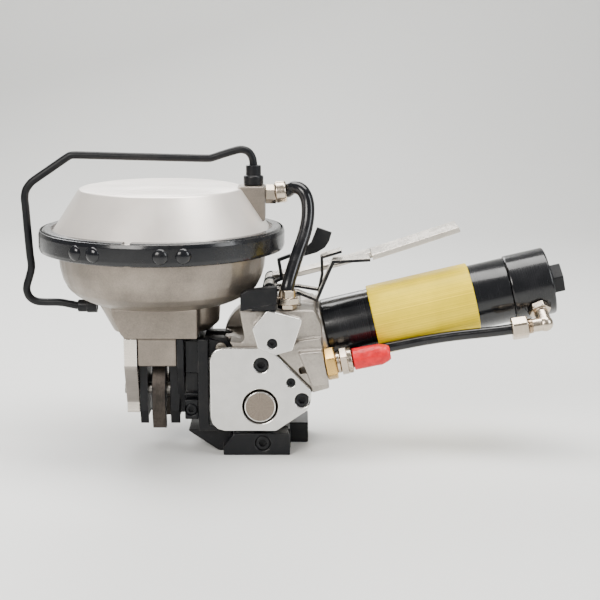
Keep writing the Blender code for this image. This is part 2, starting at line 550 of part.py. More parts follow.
def valve_cover():
    out = rounded([(6.5, 114.8), (32.9, 107.7), (25.3, 84.2), (12.6, 80.7), (-0.4, 85.7), (-4.7, 101.1)],
                  [4.0, 2.6, 1.2, 1.2, 1.2, 2.6], n=4)
    ob = finish(prism(blank(), out, -52.0, -48.0), "valve_cover", "plate_silver")
    hole(ob, (10.2, -60, 89.4), (10.2, -40, 89.4), 3.9, n=20)
    return ob


def rear_cover():
    lower, upper = (WHEEL[0], WHEEL[1]), (WHEEL[0], GEAR2_Z)
    out = arc(lower, 21.5, 205, 335, 10) + arc(upper, 29.6, -12, 192, 16)
    ob = finish(prism(blank(), out, 30.3, 34.5), "rear_cover", "plate_silver")
    hole(ob, (WHEEL[0], 20, WHEEL[1]), (WHEEL[0], 40, WHEEL[1]), 8.1, n=28)
    hole(ob, (WHEEL[0], 20, GEAR2_Z), (WHEEL[0], 40, GEAR2_Z), 5.06, n=24)
    return ob


def tooth_ring(bm, centre, y0, y1, pitch_r, teeth, phase, height=2.4):
    """Spur gear outline with short straight teeth, extruded along Y."""
    pts = []
    for k in range(teeth):
        a = phase + 2 * math.pi * k / teeth
        w = 2 * math.pi / teeth
        for da, r in ((-0.30 * w, pitch_r - height / 2 - 0.35), (-0.13 * w, pitch_r + height / 2 - 0.35),
                      (0.13 * w, pitch_r + height / 2 - 0.35), (0.30 * w, pitch_r - height / 2 - 0.35)):
            pts.append((centre[0] + r * math.cos(a + da), centre[1] + r * math.sin(a + da)))
    return prism(bm, pts, y0, y1)


def wheel_parts():
    out = []
    prof = [(0, -47.2), (11.4, -47.2), (11.9, -46.8), (11.9, -41.0), (8.0, -40.6), (8.0, 33.8), (0, 33.8)]
    shaft = finish(lathe(blank(), prof, (WHEEL[0], 0, WHEEL[1]), (0, 1, 0), n=28, closed=False),
                   "wheel_shaft", "turned_steel", True)
    boolean(shaft, tooth_ring(blank(), WHEEL, 15.5, 25.5, 16.0, 20, math.radians(90)), "UNION")
    out.append(shaft)
    ob = finish(blank_wheel(), "tension_wheel", "gear_steel")
    out.append(ob)
    c2 = (WHEEL[0], GEAR2_Z)
    g2 = finish(tooth_ring(blank(), c2, 15.5, 25.5, 24.0, 30, math.radians(-90 + 6.0)), "intermediate_gear", "gear_steel")
    boolean(g2, cylinder(blank(), (c2[0], 5.0, c2[1]), (c2[0], 34.0, c2[1]), 5.0, n=24), "UNION")
    return out + [g2]


def blank_wheel():
    """Feed wheel with cross teeth round its rim."""
    bm = blank()
    teeth, pts = 36, []
    for k in range(teeth * 2):
        a = math.pi * k / teeth
        r = WHEEL_R if k % 2 == 0 else WHEEL_R - 1.0
        pts.append((WHEEL[0] + r * math.cos(a), WHEEL[1] + r * math.sin(a)))
    ri = 8.3
    n = len(pts)
    rings = []
    for y in (-10.0, 10.0):
        rings.append(([bm.verts.new(P(x, y, z)) for x, z in pts],
                      [bm.verts.new(P(WHEEL[0] + ri * math.cos(math.pi * k / teeth), y,
                                      WHEEL[1] + ri * math.sin(math.pi * k / teeth))) for k in range(n)]))
    (oa, ia), (ob_, ib) = rings
    for k in range(n):
        j = (k + 1) % n
        bm.faces.new((oa[k], oa[j], ob_[j], ob_[k]))
        bm.faces.new((ia[k], ib[k], ib[j], ia[j]))
        bm.faces.new((oa[k], ia[k], ia[j], oa[j]))
        bm.faces.new((ob_[k], ob_[j], ib[j], ib[k]))
    return bm


def screws():
    out = []
    for k, (x, z, r, ln) in enumerate(((1.7, 71.5, 5.5, 20.0), (24.1, 58.0, 3.2, 16.0), (32.6, 44.1, 5.3, 20.0))):
        out.append(socket_screw(f"plate_screw_{k + 1}", (x, -45.0, z), (0, -1, 0), r, ln, r * 0.5))
    out.append(socket_screw("valve_cover_screw", (10.2, -51.4, 89.4), (0, -1, 0), 3.6, 16.0, 1.9, head_h=3.1))
    out.append(socket_screw("foot_screw", (2.6, -41.4, 9.2), (0, -1, 0), 5.6, 20.0, 3.0, head_h=5.4))
    out.append(socket_screw("guide_screw", (-52.2, -33.6, 33.6), (0, -1, 0), 4.3, 16.0, 2.2))
    return out


def motor():
    out = []

    def turned(name, prof, mat, n=36, closed=True):
        return finish(lathe(blank(), prof, MOTOR_0, MOTOR_D, n=n, closed=closed), name, mat, True)
    length = (MOTOR_1 - MOTOR_0).length
    out.append(turned("handle_tube", [(21.2, 0.3), (24.6, 0.3), (25.1, 0.8), (25.1, 145.3), (21.2, 145.3)],
                      "black_anodised"))
    out.append(turned("grip_sleeve", [(25.3, 37.8), (27.2, 37.8), (27.5, 38.1), (27.5, 116.9), (27.2, 117.2),
                                      (25.3, 117.2)], "yellow_sleeve"))
    cap = turned("end_cap", [(0, 150.5), (21.0, 150.5), (21.0, 145.6), (25.3, 145.6), (26.1, 146.4),
                             (26.1, length - 1.0), (25.1, length), (0, length)], "black_anodised", closed=False)
    out.append(cap)
    plug = finish(cylinder(blank(), along(MOTOR_0, MOTOR_D, length + GAP), along(MOTOR_0, MOTOR_D, length + 2.2),
                           12.6, n=32), "end_plug", "black_steel", True)
    boolean(plug, hexagon(blank(), along(MOTOR_0, MOTOR_D, length + 1.5), along(MOTOR_0, MOTOR_D, length + 10.0), 21.5,
                          turn=0.3), "UNION")
    out.append(plug)
    out.append(turned("motor_core", [(9.2, 2.0), (20.9, 2.0), (20.9, 140.0), (14.4, 140.0), (14.4, 52.0), (9.2, 48.0)],
                      "gear_steel", n=24))
    rotor = turned("motor_rotor", [(0, -20.0), (7.4, -20.0), (8.0, -19.4), (8.0, -9.0), (5.0, -7.0), (5.0, 60.0),
                                   (13.6, 60.0), (13.6, 132.0), (5.0, 132.0), (5.0, 138.0), (0, 138.0)], "gear_steel",
                   n=24, closed=False)
    for k in range(4):
        a = math.pi / 4 + k * math.pi / 2
        q = MOTOR_D.to_track_quat("Z", "Y").to_matrix()
        d = q @ Vector((math.cos(a), math.sin(a), 0))
        slot = box(blank(), (9.0, 16.0), (-0.7, 0.7), (64.0, 128.0))
        m = Matrix.Translation(MOTOR_0 * MM) @ q.to_4x4() @ Matrix.Rotation(a, 4, "Z")
        bmesh.ops.transform(slot, verts=slot.verts, matrix=m)
        boolean(rotor, slot)
    out.append(rotor)
    return out


def air_fittings():
    out = []
    q = (INLET_0, INLET_D)
    turn = 0.0
    brass = finish(hexagon(blank(), along(*q, GAP), along(*q, 8.6), 22.0, turn=turn), "inlet_bushing", "brass")
    bevel(brass, 0.8)
    boolean(brass, cylinder(blank(), along(*q, -8.0), along(*q, 2.0), 5.0, n=20), "UNION")
    out.append(brass)
    plug = finish(lathe(blank(), [(0, 8.9), (8.2, 8.9), (8.2, 11.4), (6.6, 11.8), (6.6, 17.0), (9.6, 17.2),
                                  (9.6, 20.6), (6.0, 21.2), (6.0, 42.0), (4.4, 45.0), (0, 45.0)],
                        INLET_0, INLET_D, n=20, closed=False), "quick_plug", "nickel", True)
    boolean(plug, hexagon(blank(), along(*q, 12.0), along(*q, 17.1), 18.0), "UNION")
    out.append(plug)
    cap = [(0, 50.0), (4.6, 50.0), (6.0, 49.0), (8.2, 43.0), (8.2, 21.6), (6.2, 21.6), (6.2, 43.2), (4.6, 46.0),
           (0, 46.6)]
    out.append(finish(lathe(blank(), cap, INLET_0, INLET_D, n=20, closed=False), "dust_cap", "red_vinyl", True))
    # elbow screwed into the end cap, with its compression nut
    a, b = Vector((213.0, -21.0, 112.0)), Vector((216.6, -34.4, 101.2))
    d = (b - a).normalized()
    e = Vector((-1.0, 0.0, -0.165)).normalized()
    elbow = finish(cylinder(blank(), a - d * 1.0, b, 5.4, n=24), "elbow_fitting", "nickel", True)
    ball = blank()
    bmesh.ops.create_uvsphere(ball, u_segments=16, v_segments=8, radius=6.0 * MM, matrix=Matrix.Translation(b * MM))
    boolean(elbow, ball, "UNION")
    boolean(elbow, cylinder(blank(), b, b + e * 13.0, 5.2, n=24), "UNION")
    boolean(elbow, hexagon(blank(), a + d * 1.2, a + d * 6.2, 15.0), "UNION")
    nut0 = b + e * 13.3
    nut = finish(hexagon(blank(), nut0, nut0 + e * 12.6, 15.6), "elbow_nut", "nickel")
    bevel(nut, 0.9)
    hole(nut, nut0 - e * 5, nut0 + e * 20, 4.3, n=20)
    cut_cap = (a, d)
    path = [tuple(nut0 + e * 1.0), tuple(nut0 + e * 20.0), (150.0, -29.6, 90.9), (128.0, -27.2, 87.0),
            (110.0, -26.6, 83.4), (92.0, -26.6, 79.7), (78.0, -26.4, 75.6), (68.5, -23.6, 70.2), (60.6, -21.5, 66.6), (55.2, -21.5, 66.6)]
    hose = rod("motor_hose", smooth_path(path[:-1], 12.0) + path[-1:], 4.0, "hose_black", res=2)
    out += [elbow, nut, hose]
    # sealing line: hexagon fitting on the cover's boss, hose, fitting on the valve body
    z = 195.5
    up = finish(hexagon(blank(), (4.7, 0, z), (12.8, 0, z), 13.0), "seal_fitting_top", "nickel")
    boolean(up, lathe(blank(), [(0, 12.0), (7.2, 12.0), (8.4, 13.0), (8.4, 19.6), (7.4, 20.8), (0, 20.8)],
                      (0, 0, z), (1, 0, 0.10), n=24, closed=False), "UNION")
    hole(up, (16.6, 0, z + 1.7), (30.0, 0, z + 3.0), 5.8, n=20)
    low = finish(hexagon(blank(), (21.5, -36.0, 113.2), (21.5, -36.0, 117.4), 13.0, turn=0.5), "seal_fitting_low", "nickel")
    boolean(low, hexagon(blank(), (21.5, -36.0, 116.8), (21.5, -36.0, 121.8), 15.6, turn=0.2), "UNION")
    boolean(low, cylinder(blank(), (21.5, -36.0, 121.0), (21.5, -36.0, 127.6), 6.4, n=24), "UNION")
    hole(low, (21.5, -36.0, 123.6), (21.5, -36.0, 140.0), 5.6, n=20)
    path = [(17.4, 0.0, 197.3), (21.6, 0.0, 197.7), (26.5, -2.2, 200.9), (32.8, -6.5, 198.8), (36.6, -9.0, 190.8),
            (36.9, -12.5, 179.0), (34.2, -17.5, 166.5), (30.0, -23.0, 155.0), (25.8, -29.0, 143.0), (22.6, -34.2, 133.0),
            (21.5, -36.0, 128.4), (21.5, -36.0, 124.2)]
    up_hose = rod("seal_hose", path[:1] + smooth_path(path[1:-1], 8.0) + path[-1:], 5.0, "hose_black", res=2)
    return out + [up, low, up_hose], cut_cap


def levers():
    out = []
    px, pz = LEVER_PIN
    out.append(finish(cylinder(blank(), (px, -28.5, pz), (px, 29.0, pz), 3.0, n=20), "lever_pin", "bright_steel", True))
    # bracket: base plate, three ears and the heavy front block
    ob = finish(box(blank(), (-5.0, 13.2), (-47.6, 28.6), (113.4, 116.4)), "lever_bracket", "black_steel")
    block = [(-13.2, 114.8), (14.0, 120.4), (14.0, 133.2), (-7.6, 130.6), (-13.2, 127.4)]
    boolean(ob, prism(blank(), block, -55.0, -47.4), "UNION")
    boolean(ob, box(blank(), (-5.0, 13.0), (-54.0, -46.0), (115.2, 121.0)), "UNION")
    for y in ((-28.4, -24.4), (-0.1, 3.6), (24.4, 28.4)):
        ear = [(0.0, 114.0), (13.0, 114.0)] + arc(LEVER_PIN, 5.0, 0, 180, 8)
        boolean(ob, prism(blank(), ear, *y), "UNION")
    hole(ob, (px, -40, pz), (px, 40, pz), 3.06, n=20)
    out.append(ob)

    def lever(name, mat, hub_y, path, t, y, pads=()):
        lv = finish(cylinder(blank(), (px, hub_y[0] - 0.15, pz), (px, hub_y[1] + 0.15, pz), 4.6, n=18), name, mat)
        boolean(lv, prism(blank(), strip(path, t), *y), "UNION")
        for pts, py in pads:
            boolean(lv, prism(blank(), pts, *py), "UNION")
        hole(lv, (px, -60, pz), (px, 60, pz), 3.06, n=20)
        return lv
    out.append(lever("lift_lever", "bright_steel", (4.2, 23.8),
                     [(9.5, 129.4), (31.0, 132.6), (60.0, 140.0), (88.0, 148.2)], 4.0, (4.2, 23.8),
                     [(strip([(86.6, 147.8), (120.0, 158.6), (153.0, 169.6)], 4.0), (-11.0, 25.0))]))
    out.append(lever("tension_trigger", "bright_steel", (-24.0, -14.0),
                     [(9.0, 125.8), (29.4, 122.9), (43.8, 117.0), (49.2, 130.2), (56.2, 146.6), (60.0, 146.9)], 2.4,
                     (-24.0, -14.0), [(strip([(56.2, 146.6), (84.4, 148.0)], 2.4), (-24.0, -1.0))]))
    out.append(lever("seal_trigger", "bright_steel", (-13.0, -7.0),
                     [(9.0, 126.0), (29.4, 125.6), (45.6, 122.9), (48.1, 135.4), (47.6, 149.0), (52.0, 150.4)], 2.2,
                     (-13.0, -7.0), [(strip([(47.6, 149.0), (62.8, 153.6)], 2.2), (-18.0, -1.0))]))
    pad = [(33.2, 147.7), (43.8, 150.8), (50.2, 154.6), (53.4, 159.6), (55.4, 166.4), (44.2, 170.4), (39.6, 158.8),
           (33.2, 152.7)]
    out.append(lever("thumb_lever", "black_steel", (-6.0, -0.5),
                     [(9.5, 127.0), (17.0, 130.4), (14.6, 144.8), (24.4, 148.6), (37.0, 150.8)], 2.4, (-6.0, -0.5),
                     [(pad, (-5.7, -2.1))]))
    for x, y, top, name in ((29.0, -19.0, 120.8, "tension_plunger"), (24.0, -10.0, 123.9, "seal_plunger")):
        out.append(finish(lathe(blank(), [(0, 104.0), (2.5, 104.0), (2.5, top - 0.8), (1.8, top), (0, top)], (x, y, 0),
                                (0, 0, 1), n=14, closed=False), name, "bright_steel", True))
    return out


foot()
gripper()
frame()
pivot_pin()
housing()
top_cover()
clamp()
bail()
bail_nuts()
piston()
return_spring()
jaws()
guide_block()
gear_case()
side_plate()
valve_cover()
rear_cover()
wheel_parts()
screws()
motor()
_, (elbow_at, elbow_dir) = air_fittings()
hole(bpy.data.objects["end_cap"], elbow_at - elbow_dir * 12.0, elbow_at + elbow_dir * 5.0, 5.8, n=20)
hole(bpy.data.objects["end_cap"], elbow_at + elbow_dir * 0.9, elbow_at + elbow_dir * 20.0, 9.2, n=24)
levers()
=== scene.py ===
"""Looks of the pneumatic strapping tensioner: castings, black steel, nickel fittings, hoses and grip.

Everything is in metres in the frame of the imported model: +X along the motor handle, -Y towards the side
plate, +Z up, the sole at Z = 0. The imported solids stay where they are; each visible one is either given a
finish or replaced by a finer piece of the same shape that rides on the same body.
"""
import json
import math
import bmesh
import bpy
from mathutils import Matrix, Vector, noise


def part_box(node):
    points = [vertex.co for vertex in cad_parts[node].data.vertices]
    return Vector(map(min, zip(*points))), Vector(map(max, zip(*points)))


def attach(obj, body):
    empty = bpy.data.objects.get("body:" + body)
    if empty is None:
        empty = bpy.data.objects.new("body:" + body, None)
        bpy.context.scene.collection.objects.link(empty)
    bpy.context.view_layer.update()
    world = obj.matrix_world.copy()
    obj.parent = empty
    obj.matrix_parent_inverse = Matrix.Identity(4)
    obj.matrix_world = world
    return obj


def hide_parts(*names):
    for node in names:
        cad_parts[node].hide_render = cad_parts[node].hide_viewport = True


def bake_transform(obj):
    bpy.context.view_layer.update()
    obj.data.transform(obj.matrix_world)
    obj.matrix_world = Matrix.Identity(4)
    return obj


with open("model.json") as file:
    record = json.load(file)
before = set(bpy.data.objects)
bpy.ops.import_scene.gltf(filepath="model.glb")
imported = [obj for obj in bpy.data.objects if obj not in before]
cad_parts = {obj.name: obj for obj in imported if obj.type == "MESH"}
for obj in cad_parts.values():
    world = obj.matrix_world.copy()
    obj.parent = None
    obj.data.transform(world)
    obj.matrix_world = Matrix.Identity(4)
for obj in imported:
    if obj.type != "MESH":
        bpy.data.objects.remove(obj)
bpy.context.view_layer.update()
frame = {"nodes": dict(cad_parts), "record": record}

MM = 0.001
CAN = Vector((-0.0752, 0.0, 0.0))          # axis of the sealing cylinder
SPLIT_Z = 0.1622                           # joint between bowl and cover
CLAMP_R = 0.0943
FLANGE_R, SPLIT_MM = 88.0, SPLIT_Z / MM    # cover's and bowl's flanges, in millimetres
CLAMP_GAP = math.radians(-101.0)           # direction of the gap between the clamp's segments
WHEEL = Vector((0.0008, 0.0, 0.0393))
MOTOR_0 = Vector((0.0514, 0.0, 0.0879))
MOTOR_D = Vector((0.1728, 0.0, 0.0405)).normalized()
INLET_0 = Vector((0.0501, -0.040, 0.0706))
INLET_D = Vector((0.9816, 0.0, 0.1908)).normalized()
ELBOW_BALL = Vector((0.2166, -0.0344, 0.1012))
ELBOW_ALONG = Vector((-1.0, 0.0, -0.165)).normalized()    # from the elbow towards its hose
LOW_FITTING = (0.0215, -0.036)             # axis of the fitting where the seal hose ends
SEAL_HOSE_R, MOTOR_HOSE_R, BAIL_R = 0.005, 0.004, 0.003
BODY_OF = {node: body for body, nodes in frame["record"]["behaviour"]["bodies"].items() for node in nodes}


# ============================================================================ camera and light
def camera():
    """Long lens at table height, looking a little down at the side plate."""
    data = bpy.data.cameras.new("view")
    data.lens, data.sensor_width = 84.0, 36.0
    data.clip_start = 0.05
    ob = bpy.data.objects.new("view", data)
    ob.location = (0.031, -1.070, 0.3223)
    ob.rotation_euler = (math.radians(90.0 - 11.09), 0.0, 0.0)
    bpy.context.scene.collection.objects.link(ob)
    bpy.context.scene.camera = ob


def softbox(name, place, target, size, power, colour=(1.0, 1.0, 1.0)):
    data = bpy.data.lights.new(name, "AREA")
    data.shape, data.size, data.size_y = "RECTANGLE", size[0], size[1]
    data.energy, data.color = power, colour
    ob = bpy.data.objects.new(name, data)
    ob.location = place
    ob.rotation_euler = (Vector(target) - Vector(place)).to_track_quat("-Z", "Y").to_euler()
    bpy.context.scene.collection.objects.link(ob)


def studio():
    softbox("roof_light", (0.05, 0.10, 1.25), (0.0, 0.0, 0.1), (1.5, 0.6), 34.0, (1.0, 0.985, 0.96))
    softbox("front_light", (-0.75, -1.25, 0.95), (0.0, 0.0, 0.12), (0.8, 0.6), 26.0, (1.0, 0.965, 0.92))
    softbox("side_light", (1.15, -0.55, 0.65), (0.05, 0.0, 0.1), (0.4, 0.7), 9.0, (0.96, 0.98, 1.0))
    softbox("back_light", (-0.35, 1.15, 0.85), (0.0, 0.0, 0.12), (1.0, 0.4), 12.0)
    world = bpy.data.worlds.new("room")
    bpy.context.scene.world = world
    world.use_nodes = True
    world.node_tree.nodes["Background"].inputs["Color"].default_value = (0.86, 0.87, 0.86, 1.0)
    world.node_tree.nodes["Background"].inputs["Strength"].default_value = 0.34


# ============================================================================ shader maths
class Num:
    """A number running through a material, which adds and multiplies as Python's own do."""

    def __init__(self, finish, socket):
        self.finish, self.socket = finish, socket

    def _made(self, operation, a, b=0.0):
        return Num(self.finish, self.finish.node("ShaderNodeMath", {"operation": operation}, {0: a, 1: b}))

    def __add__(self, other):
        return self._made("ADD", self, other)

    def __mul__(self, other):
        return self._made("MULTIPLY", self, other)

    def root(self):
        return self._made("SQRT", self)

    def angle_to(self, other):
        return self._made("ARCTAN2", self, other)

    def spread(self, low, high, to_low=0.0, to_high=1.0):
        """This number's stretch from low to high, taken to another stretch and held there."""
        out = self.finish.node("ShaderNodeMapRange", {"clamp": True},
                               {"Value": self, 1: low, 2: high, 3: to_low, 4: to_high})
        return Num(self.finish, out)


class Finish:
    """One surface finish. Constants go on the shader's own sockets, varying values through node()."""

    def __init__(self, name, colour, roughness, metallic=0.0, **constants):
        self.material = bpy.data.materials.new(name)
        self.material.use_nodes = True
        self.tree = self.material.node_tree
        self.shader = self.tree.nodes["Principled BSDF"]
        self.colour, self.name = colour, name
        self.put("Base Color", (*colour, 1.0))
        self.put("Roughness", roughness)
        self.put("Metallic", metallic)
        for label, value in constants.items():
            self.put(label.replace("_", " "), value)
        self._coordinates = None

    def put(self, label, value):
        if isinstance(value, Num):
            value = value.socket
        if isinstance(value, bpy.types.NodeSocket):
            self.tree.links.new(value, self.shader.inputs[label])
        else:
            self.shader.inputs[label].default_value = value
        return self

    def node(self, kind, settings=None, sockets=None, out=0):
        """Adds a node, its settings first and then the values or links of its sockets."""
        made = self.tree.nodes.new(kind)
        for key, value in (settings or {}).items():
            setattr(made, key, value)
        for key, value in (sockets or {}).items():
            if isinstance(value, Num):
                value = value.socket
            if isinstance(value, bpy.types.NodeSocket):
                self.tree.links.new(value, made.inputs[key])
            else:
                made.inputs[key].default_value = value
        return made.outputs[out]

    def place(self, at=(0, 0, 0), turn=(0, 0, 0), scale=(1, 1, 1)):
        """Object coordinates seen from a point and turned axes; scale is the size of one unit there."""
        if self._coordinates is None:
            self._coordinates = self.node("ShaderNodeTexCoord", out="Object")
        if (tuple(at), tuple(turn), tuple(scale)) == ((0, 0, 0), (0, 0, 0), (1, 1, 1)):
            return self._coordinates
        return self.node("ShaderNodeMapping", {"vector_type": "TEXTURE"},
                         {"Vector": self._coordinates, "Location": at, "Rotation": turn, "Scale": scale})

    def parts(self, vector):
        made = self.tree.nodes.new("ShaderNodeSeparateXYZ")
        self.tree.links.new(vector, made.inputs[0])
        return [Num(self, s) for s in made.outputs]

    def grain(self, size, detail=2.0, roughness=0.5, stretch=(1, 1, 1), where=None):
        """Noise whose features are about size metres across, longer along a stretched axis."""
        spot = where or self.place(scale=stretch)
        return Num(self, self.node("ShaderNodeTexNoise", {"noise_dimensions": "3D"},
                                   {"Vector": spot, "Scale": 1.0 / size, "Detail": detail,
                                    "Roughness": roughness}))

    def lines(self, number, per_unit, detail=1.0):
        """One-way noise that runs with a number, as tool marks do."""
        return Num(self, self.node("ShaderNodeTexNoise", {"noise_dimensions": "1D"},
                                   {"W": number * per_unit, "Scale": 1.0, "Detail": detail}))

    def blend(self, factor, a, b):
        """Colour between a and b; each is three numbers or a colour socket."""
        a, b = [(*c, 1.0) if isinstance(c, tuple) else c for c in (a, b)]
        return self.node("ShaderNodeMix", {"data_type": "RGBA"}, {0: factor, 6: a, 7: b}, out=2)

    def tinted(self, factor, low, high):
        """Base colour times low where factor is 0 and times high where it is 1."""
        a, b = [tuple(min(1.0, c * k) for c in self.colour) for k in (low, high)]
        return self.put("Base Color", self.blend(factor, a, b))

    def relief(self, height, depth, strength=1.0, under=None):
        """Bump of a height field, depth metres from its low to its high."""
        sockets = {"Height": height, "Distance": depth, "Strength": strength}
        if under is not None:
            sockets["Normal"] = under
        return self.node("ShaderNodeBump", None, sockets, out="Normal")


# ============================================================================ finishes
def sand_cast(name, colour, roughness, grain=0.0011, depth=0.00016):
    """Aluminium as it leaves the sand: pitted, mottled by handling, lighter on its high grains."""
    f = Finish(name, colour, roughness, 0.82)
    sand = f.grain(grain, 3.0, 0.65)
    waves = f.grain(0.014, 2.0)
    stain = f.grain(0.030, 4.0, 0.6)
    f.tinted((sand * 0.45 + stain * 0.75).spread(0.42, 0.80), 0.70, 1.22)
    f.put("Roughness", (waves * 0.5 + sand * 0.5).spread(0.3, 0.7, roughness - 0.10, roughness + 0.12))
    low = f.relief(waves, 0.0007, 0.5)
    f.put("Normal", f.relief(sand, depth, 0.9, low))
    return f


def blasted_cover(name, colour):
    """Bead-blasted and clear-coated cover: an even satin with a fine grain and faint cloudiness."""
    f = Finish(name, colour, 0.34, 0.55, Coat_Roughness=0.28)
    cloud = f.grain(0.040, 3.0, 0.6)
    beads = f.grain(0.0006, 2.0, 0.6)
    f.tinted(cloud.spread(0.3, 0.7), 0.94, 1.04)
    f.put("Roughness", (cloud * 0.6 + beads * 0.4).spread(0.3, 0.7, 0.30, 0.42))
    f.put("Coat Weight", cloud.spread(0.2, 0.8, 0.15, 0.30))
    f.put("Normal", f.relief(beads, 0.00003, 0.8))
    return f


def ground_plate(name, colour, roughness, along_x=30.0, metallic=0.78):
    """Plate ground flat and dulled: short scratches one way over a soft mottle."""
    f = Finish(name, colour, roughness, metallic)
    scratch = f.grain(0.0005, 3.0, 0.7, stretch=(along_x, 1.0, 1.0))
    mottle = f.grain(0.009, 3.0, 0.6)
    f.tinted((scratch * 0.35 + mottle * 0.65).spread(0.35, 0.65), 0.93, 1.07)
    f.put("Roughness", (scratch * 0.6 + mottle * 0.4).spread(0.3, 0.7, roughness - 0.06, roughness + 0.09))
    f.put("Normal", f.relief(scratch, 0.00002, 0.6))
    return f


def bare_steel(name, colour, roughness, stretch=(18.0, 18.0, 1.0)):
    f = Finish(name, colour, roughness, 1.0)
    rub = f.grain(0.0006, 3.0, 0.65, stretch=stretch)
    smudge = f.grain(0.016, 3.0)
    f.tinted((rub * 0.5 + smudge * 0.5).spread(0.35, 0.65), 0.86, 1.10)
    f.put("Roughness", (rub * 0.5 + smudge * 0.5).spread(0.3, 0.7, roughness - 0.05, roughness + 0.12))
    f.put("Normal", f.relief(rub, 0.00002, 0.5))
    return f


def faced_on_lathe(name, colour, roughness, centre):
    """Turned end of a shaft: rings of tool marks round its axis, parallel to Y."""
    f = Finish(name, colour, roughness, 1.0)
    x, _, z = f.parts(f.place(at=centre))
    radius = (x * x + z * z).root()
    rings = f.lines(radius, 2600.0, 2.0)
    streaks = f.lines(z.angle_to(x), 9.0, 2.0)
    f.tinted((rings * 0.5 + streaks * 0.5).spread(0.35, 0.65), 0.80, 1.25)
    f.put("Roughness", rings.spread(0.3, 0.7, roughness - 0.06, roughness + 0.12))
    f.put("Normal", f.relief(rings, 0.00003, 0.6))
    return f


def black_steel(name, roughness, worn, grain=0.0009):
    """Blacked steel: slight pitting, dusty patches and a browner tone where it is rubbed."""
    f = Finish(name, (0.0055, 0.006, 0.0075), roughness, 0.0, Specular_IOR_Level=0.22)
    pits = f.grain(grain, 3.0, 0.6)
    rub = f.grain(0.011, 4.0, 0.65)
    f.put("Base Color", f.blend((rub * 0.8 + pits * 0.2).spread(0.48, 0.78), f.colour, worn))
    f.put("Roughness", (rub * 0.5 + pits * 0.5).spread(0.3, 0.7, roughness - 0.08, roughness + 0.14))
    f.put("Normal", f.relief(pits, 0.00007, 0.55))
    return f


def gloss_enamel(name, roughness):
    """Black stove enamel on the band: wet gloss over a faint orange peel, with dust in patches."""
    f = Finish(name, (0.0055, 0.006, 0.008), roughness, 0.0, Coat_Roughness=0.10, Specular_IOR_Level=0.30)
    peel = f.grain(0.0016, 2.0)
    dust = f.grain(0.020, 4.0, 0.65)
    f.put("Base Color", f.blend(dust.spread(0.5, 0.8), f.colour, (0.016, 0.015, 0.014)))
    f.put("Roughness", dust.spread(0.35, 0.75, roughness - 0.05, roughness + 0.16))
    f.put("Coat Weight", dust.spread(0.3, 0.8, 0.30, 0.12))
    f.put("Normal", f.relief(peel, 0.00005, 0.5))
    return f


def handle_turn():
    return MOTOR_D.to_track_quat("Z", "Y").to_euler()


def anodised_tube(name, roughness):
    """Black anodised aluminium, turned: fine rings along the handle's axis, glossy in long streaks."""
    f = Finish(name, (0.0045, 0.0048, 0.006), roughness, 0.0, Coat_Roughness=0.06, Specular_IOR_Level=0.35)
    _, _, along = f.parts(f.place(at=MOTOR_0, turn=handle_turn()))
    rings = f.lines(along, 2400.0, 2.0)
    film = f.grain(0.018, 3.0)
    f.put("Base Color", f.blend(film.spread(0.45, 0.8), f.colour, (0.009, 0.009, 0.011)))
    f.put("Roughness", (rings * 0.4 + film * 0.6).spread(0.3, 0.7, roughness - 0.04, roughness + 0.12))
    f.put("Coat Weight", film.spread(0.3, 0.8, 0.35, 0.15))
    f.put("Normal", f.relief(rings, 0.000012, 0.5))
    return f


def grip_plastic(name, colour):
    """Extruded sleeve: faint die lines along the handle, slightly greyed where it is held."""
    f = Finish(name, colour, 0.44, 0.0, Specular_IOR_Level=0.30)
    x, y, _ = f.parts(f.place(at=MOTOR_0, turn=handle_turn()))
    die = f.lines(y.angle_to(x), 26.0, 3.0)
    held = f.grain(0.022, 4.0, 0.6)
    fine = f.grain(0.0012, 2.0)
    f.put("Base Color", f.blend((die * 0.55 + held * 0.45).spread(0.35, 0.7), tuple(c * 0.74 for c in colour),
                                tuple(min(1.0, c * 1.10) for c in colour)))
    f.put("Roughness", (held * 0.6 + fine * 0.4).spread(0.3, 0.7, 0.36, 0.56))
    low = f.relief(die, 0.00012, 0.5)
    f.put("Normal", f.relief(fine, 0.00003, 0.5, low))
    return f


def vinyl(name, colour):
    """Dipped cap: soft shine, with painted shade darkening the hollows of its creases."""
    f = Finish(name, colour, 0.32, 0.0, Specular_IOR_Level=0.35)
    crease = f.grain(0.0055, 3.0, 0.55)
    skin = f.grain(0.0010, 2.0)
    # colour darker where the crease bump is low: painted shade in the creases
    f.put("Base Color", f.blend(crease.spread(0.35, 0.7), tuple(c * 0.66 for c in colour), colour))
    f.put("Roughness", (crease * 0.5 + skin * 0.5).spread(0.3, 0.7, 0.24, 0.46))
    f.put("Normal", f.relief(skin, 0.00008, 0.5, f.relief(crease, 0.0009, 0.6)))
    return f


def plated(name, colour, roughness):
    """Plated or bright brass fitting: mirror-like with fine turning marks and fingered patches."""
    f = Finish(name, colour, roughness, 1.0)
    film = f.grain(0.006, 3.0, 0.6)
    marks = f.grain(0.0004, 2.0, 0.6, stretch=(1.0, 14.0, 14.0))
    f.tinted(film.spread(0.35, 0.7), 0.86, 1.06)
    f.put("Roughness", (film * 0.6 + marks * 0.4).spread(0.3, 0.7, roughness - 0.05, roughness + 0.14))
    f.put("Normal", f.relief(marks, 0.00002, 0.5))
    return f


def hose_skin(name, roughness):
    f = Finish(name, (0.006, 0.0062, 0.0075), roughness, 0.0, Specular_IOR_Level=0.40)
    film = f.grain(0.009, 3.0, 0.6)
    fine = f.grain(0.0011, 2.0)
    f.put("Base Color", f.blend(film.spread(0.45, 0.8), f.colour, (0.014, 0.014, 0.015)))
    f.put("Roughness", (film * 0.7 + fine * 0.3).spread(0.3, 0.7, roughness - 0.05, roughness + 0.15))
    f.put("Normal", f.relief(fine, 0.00003, 0.4))
    return f


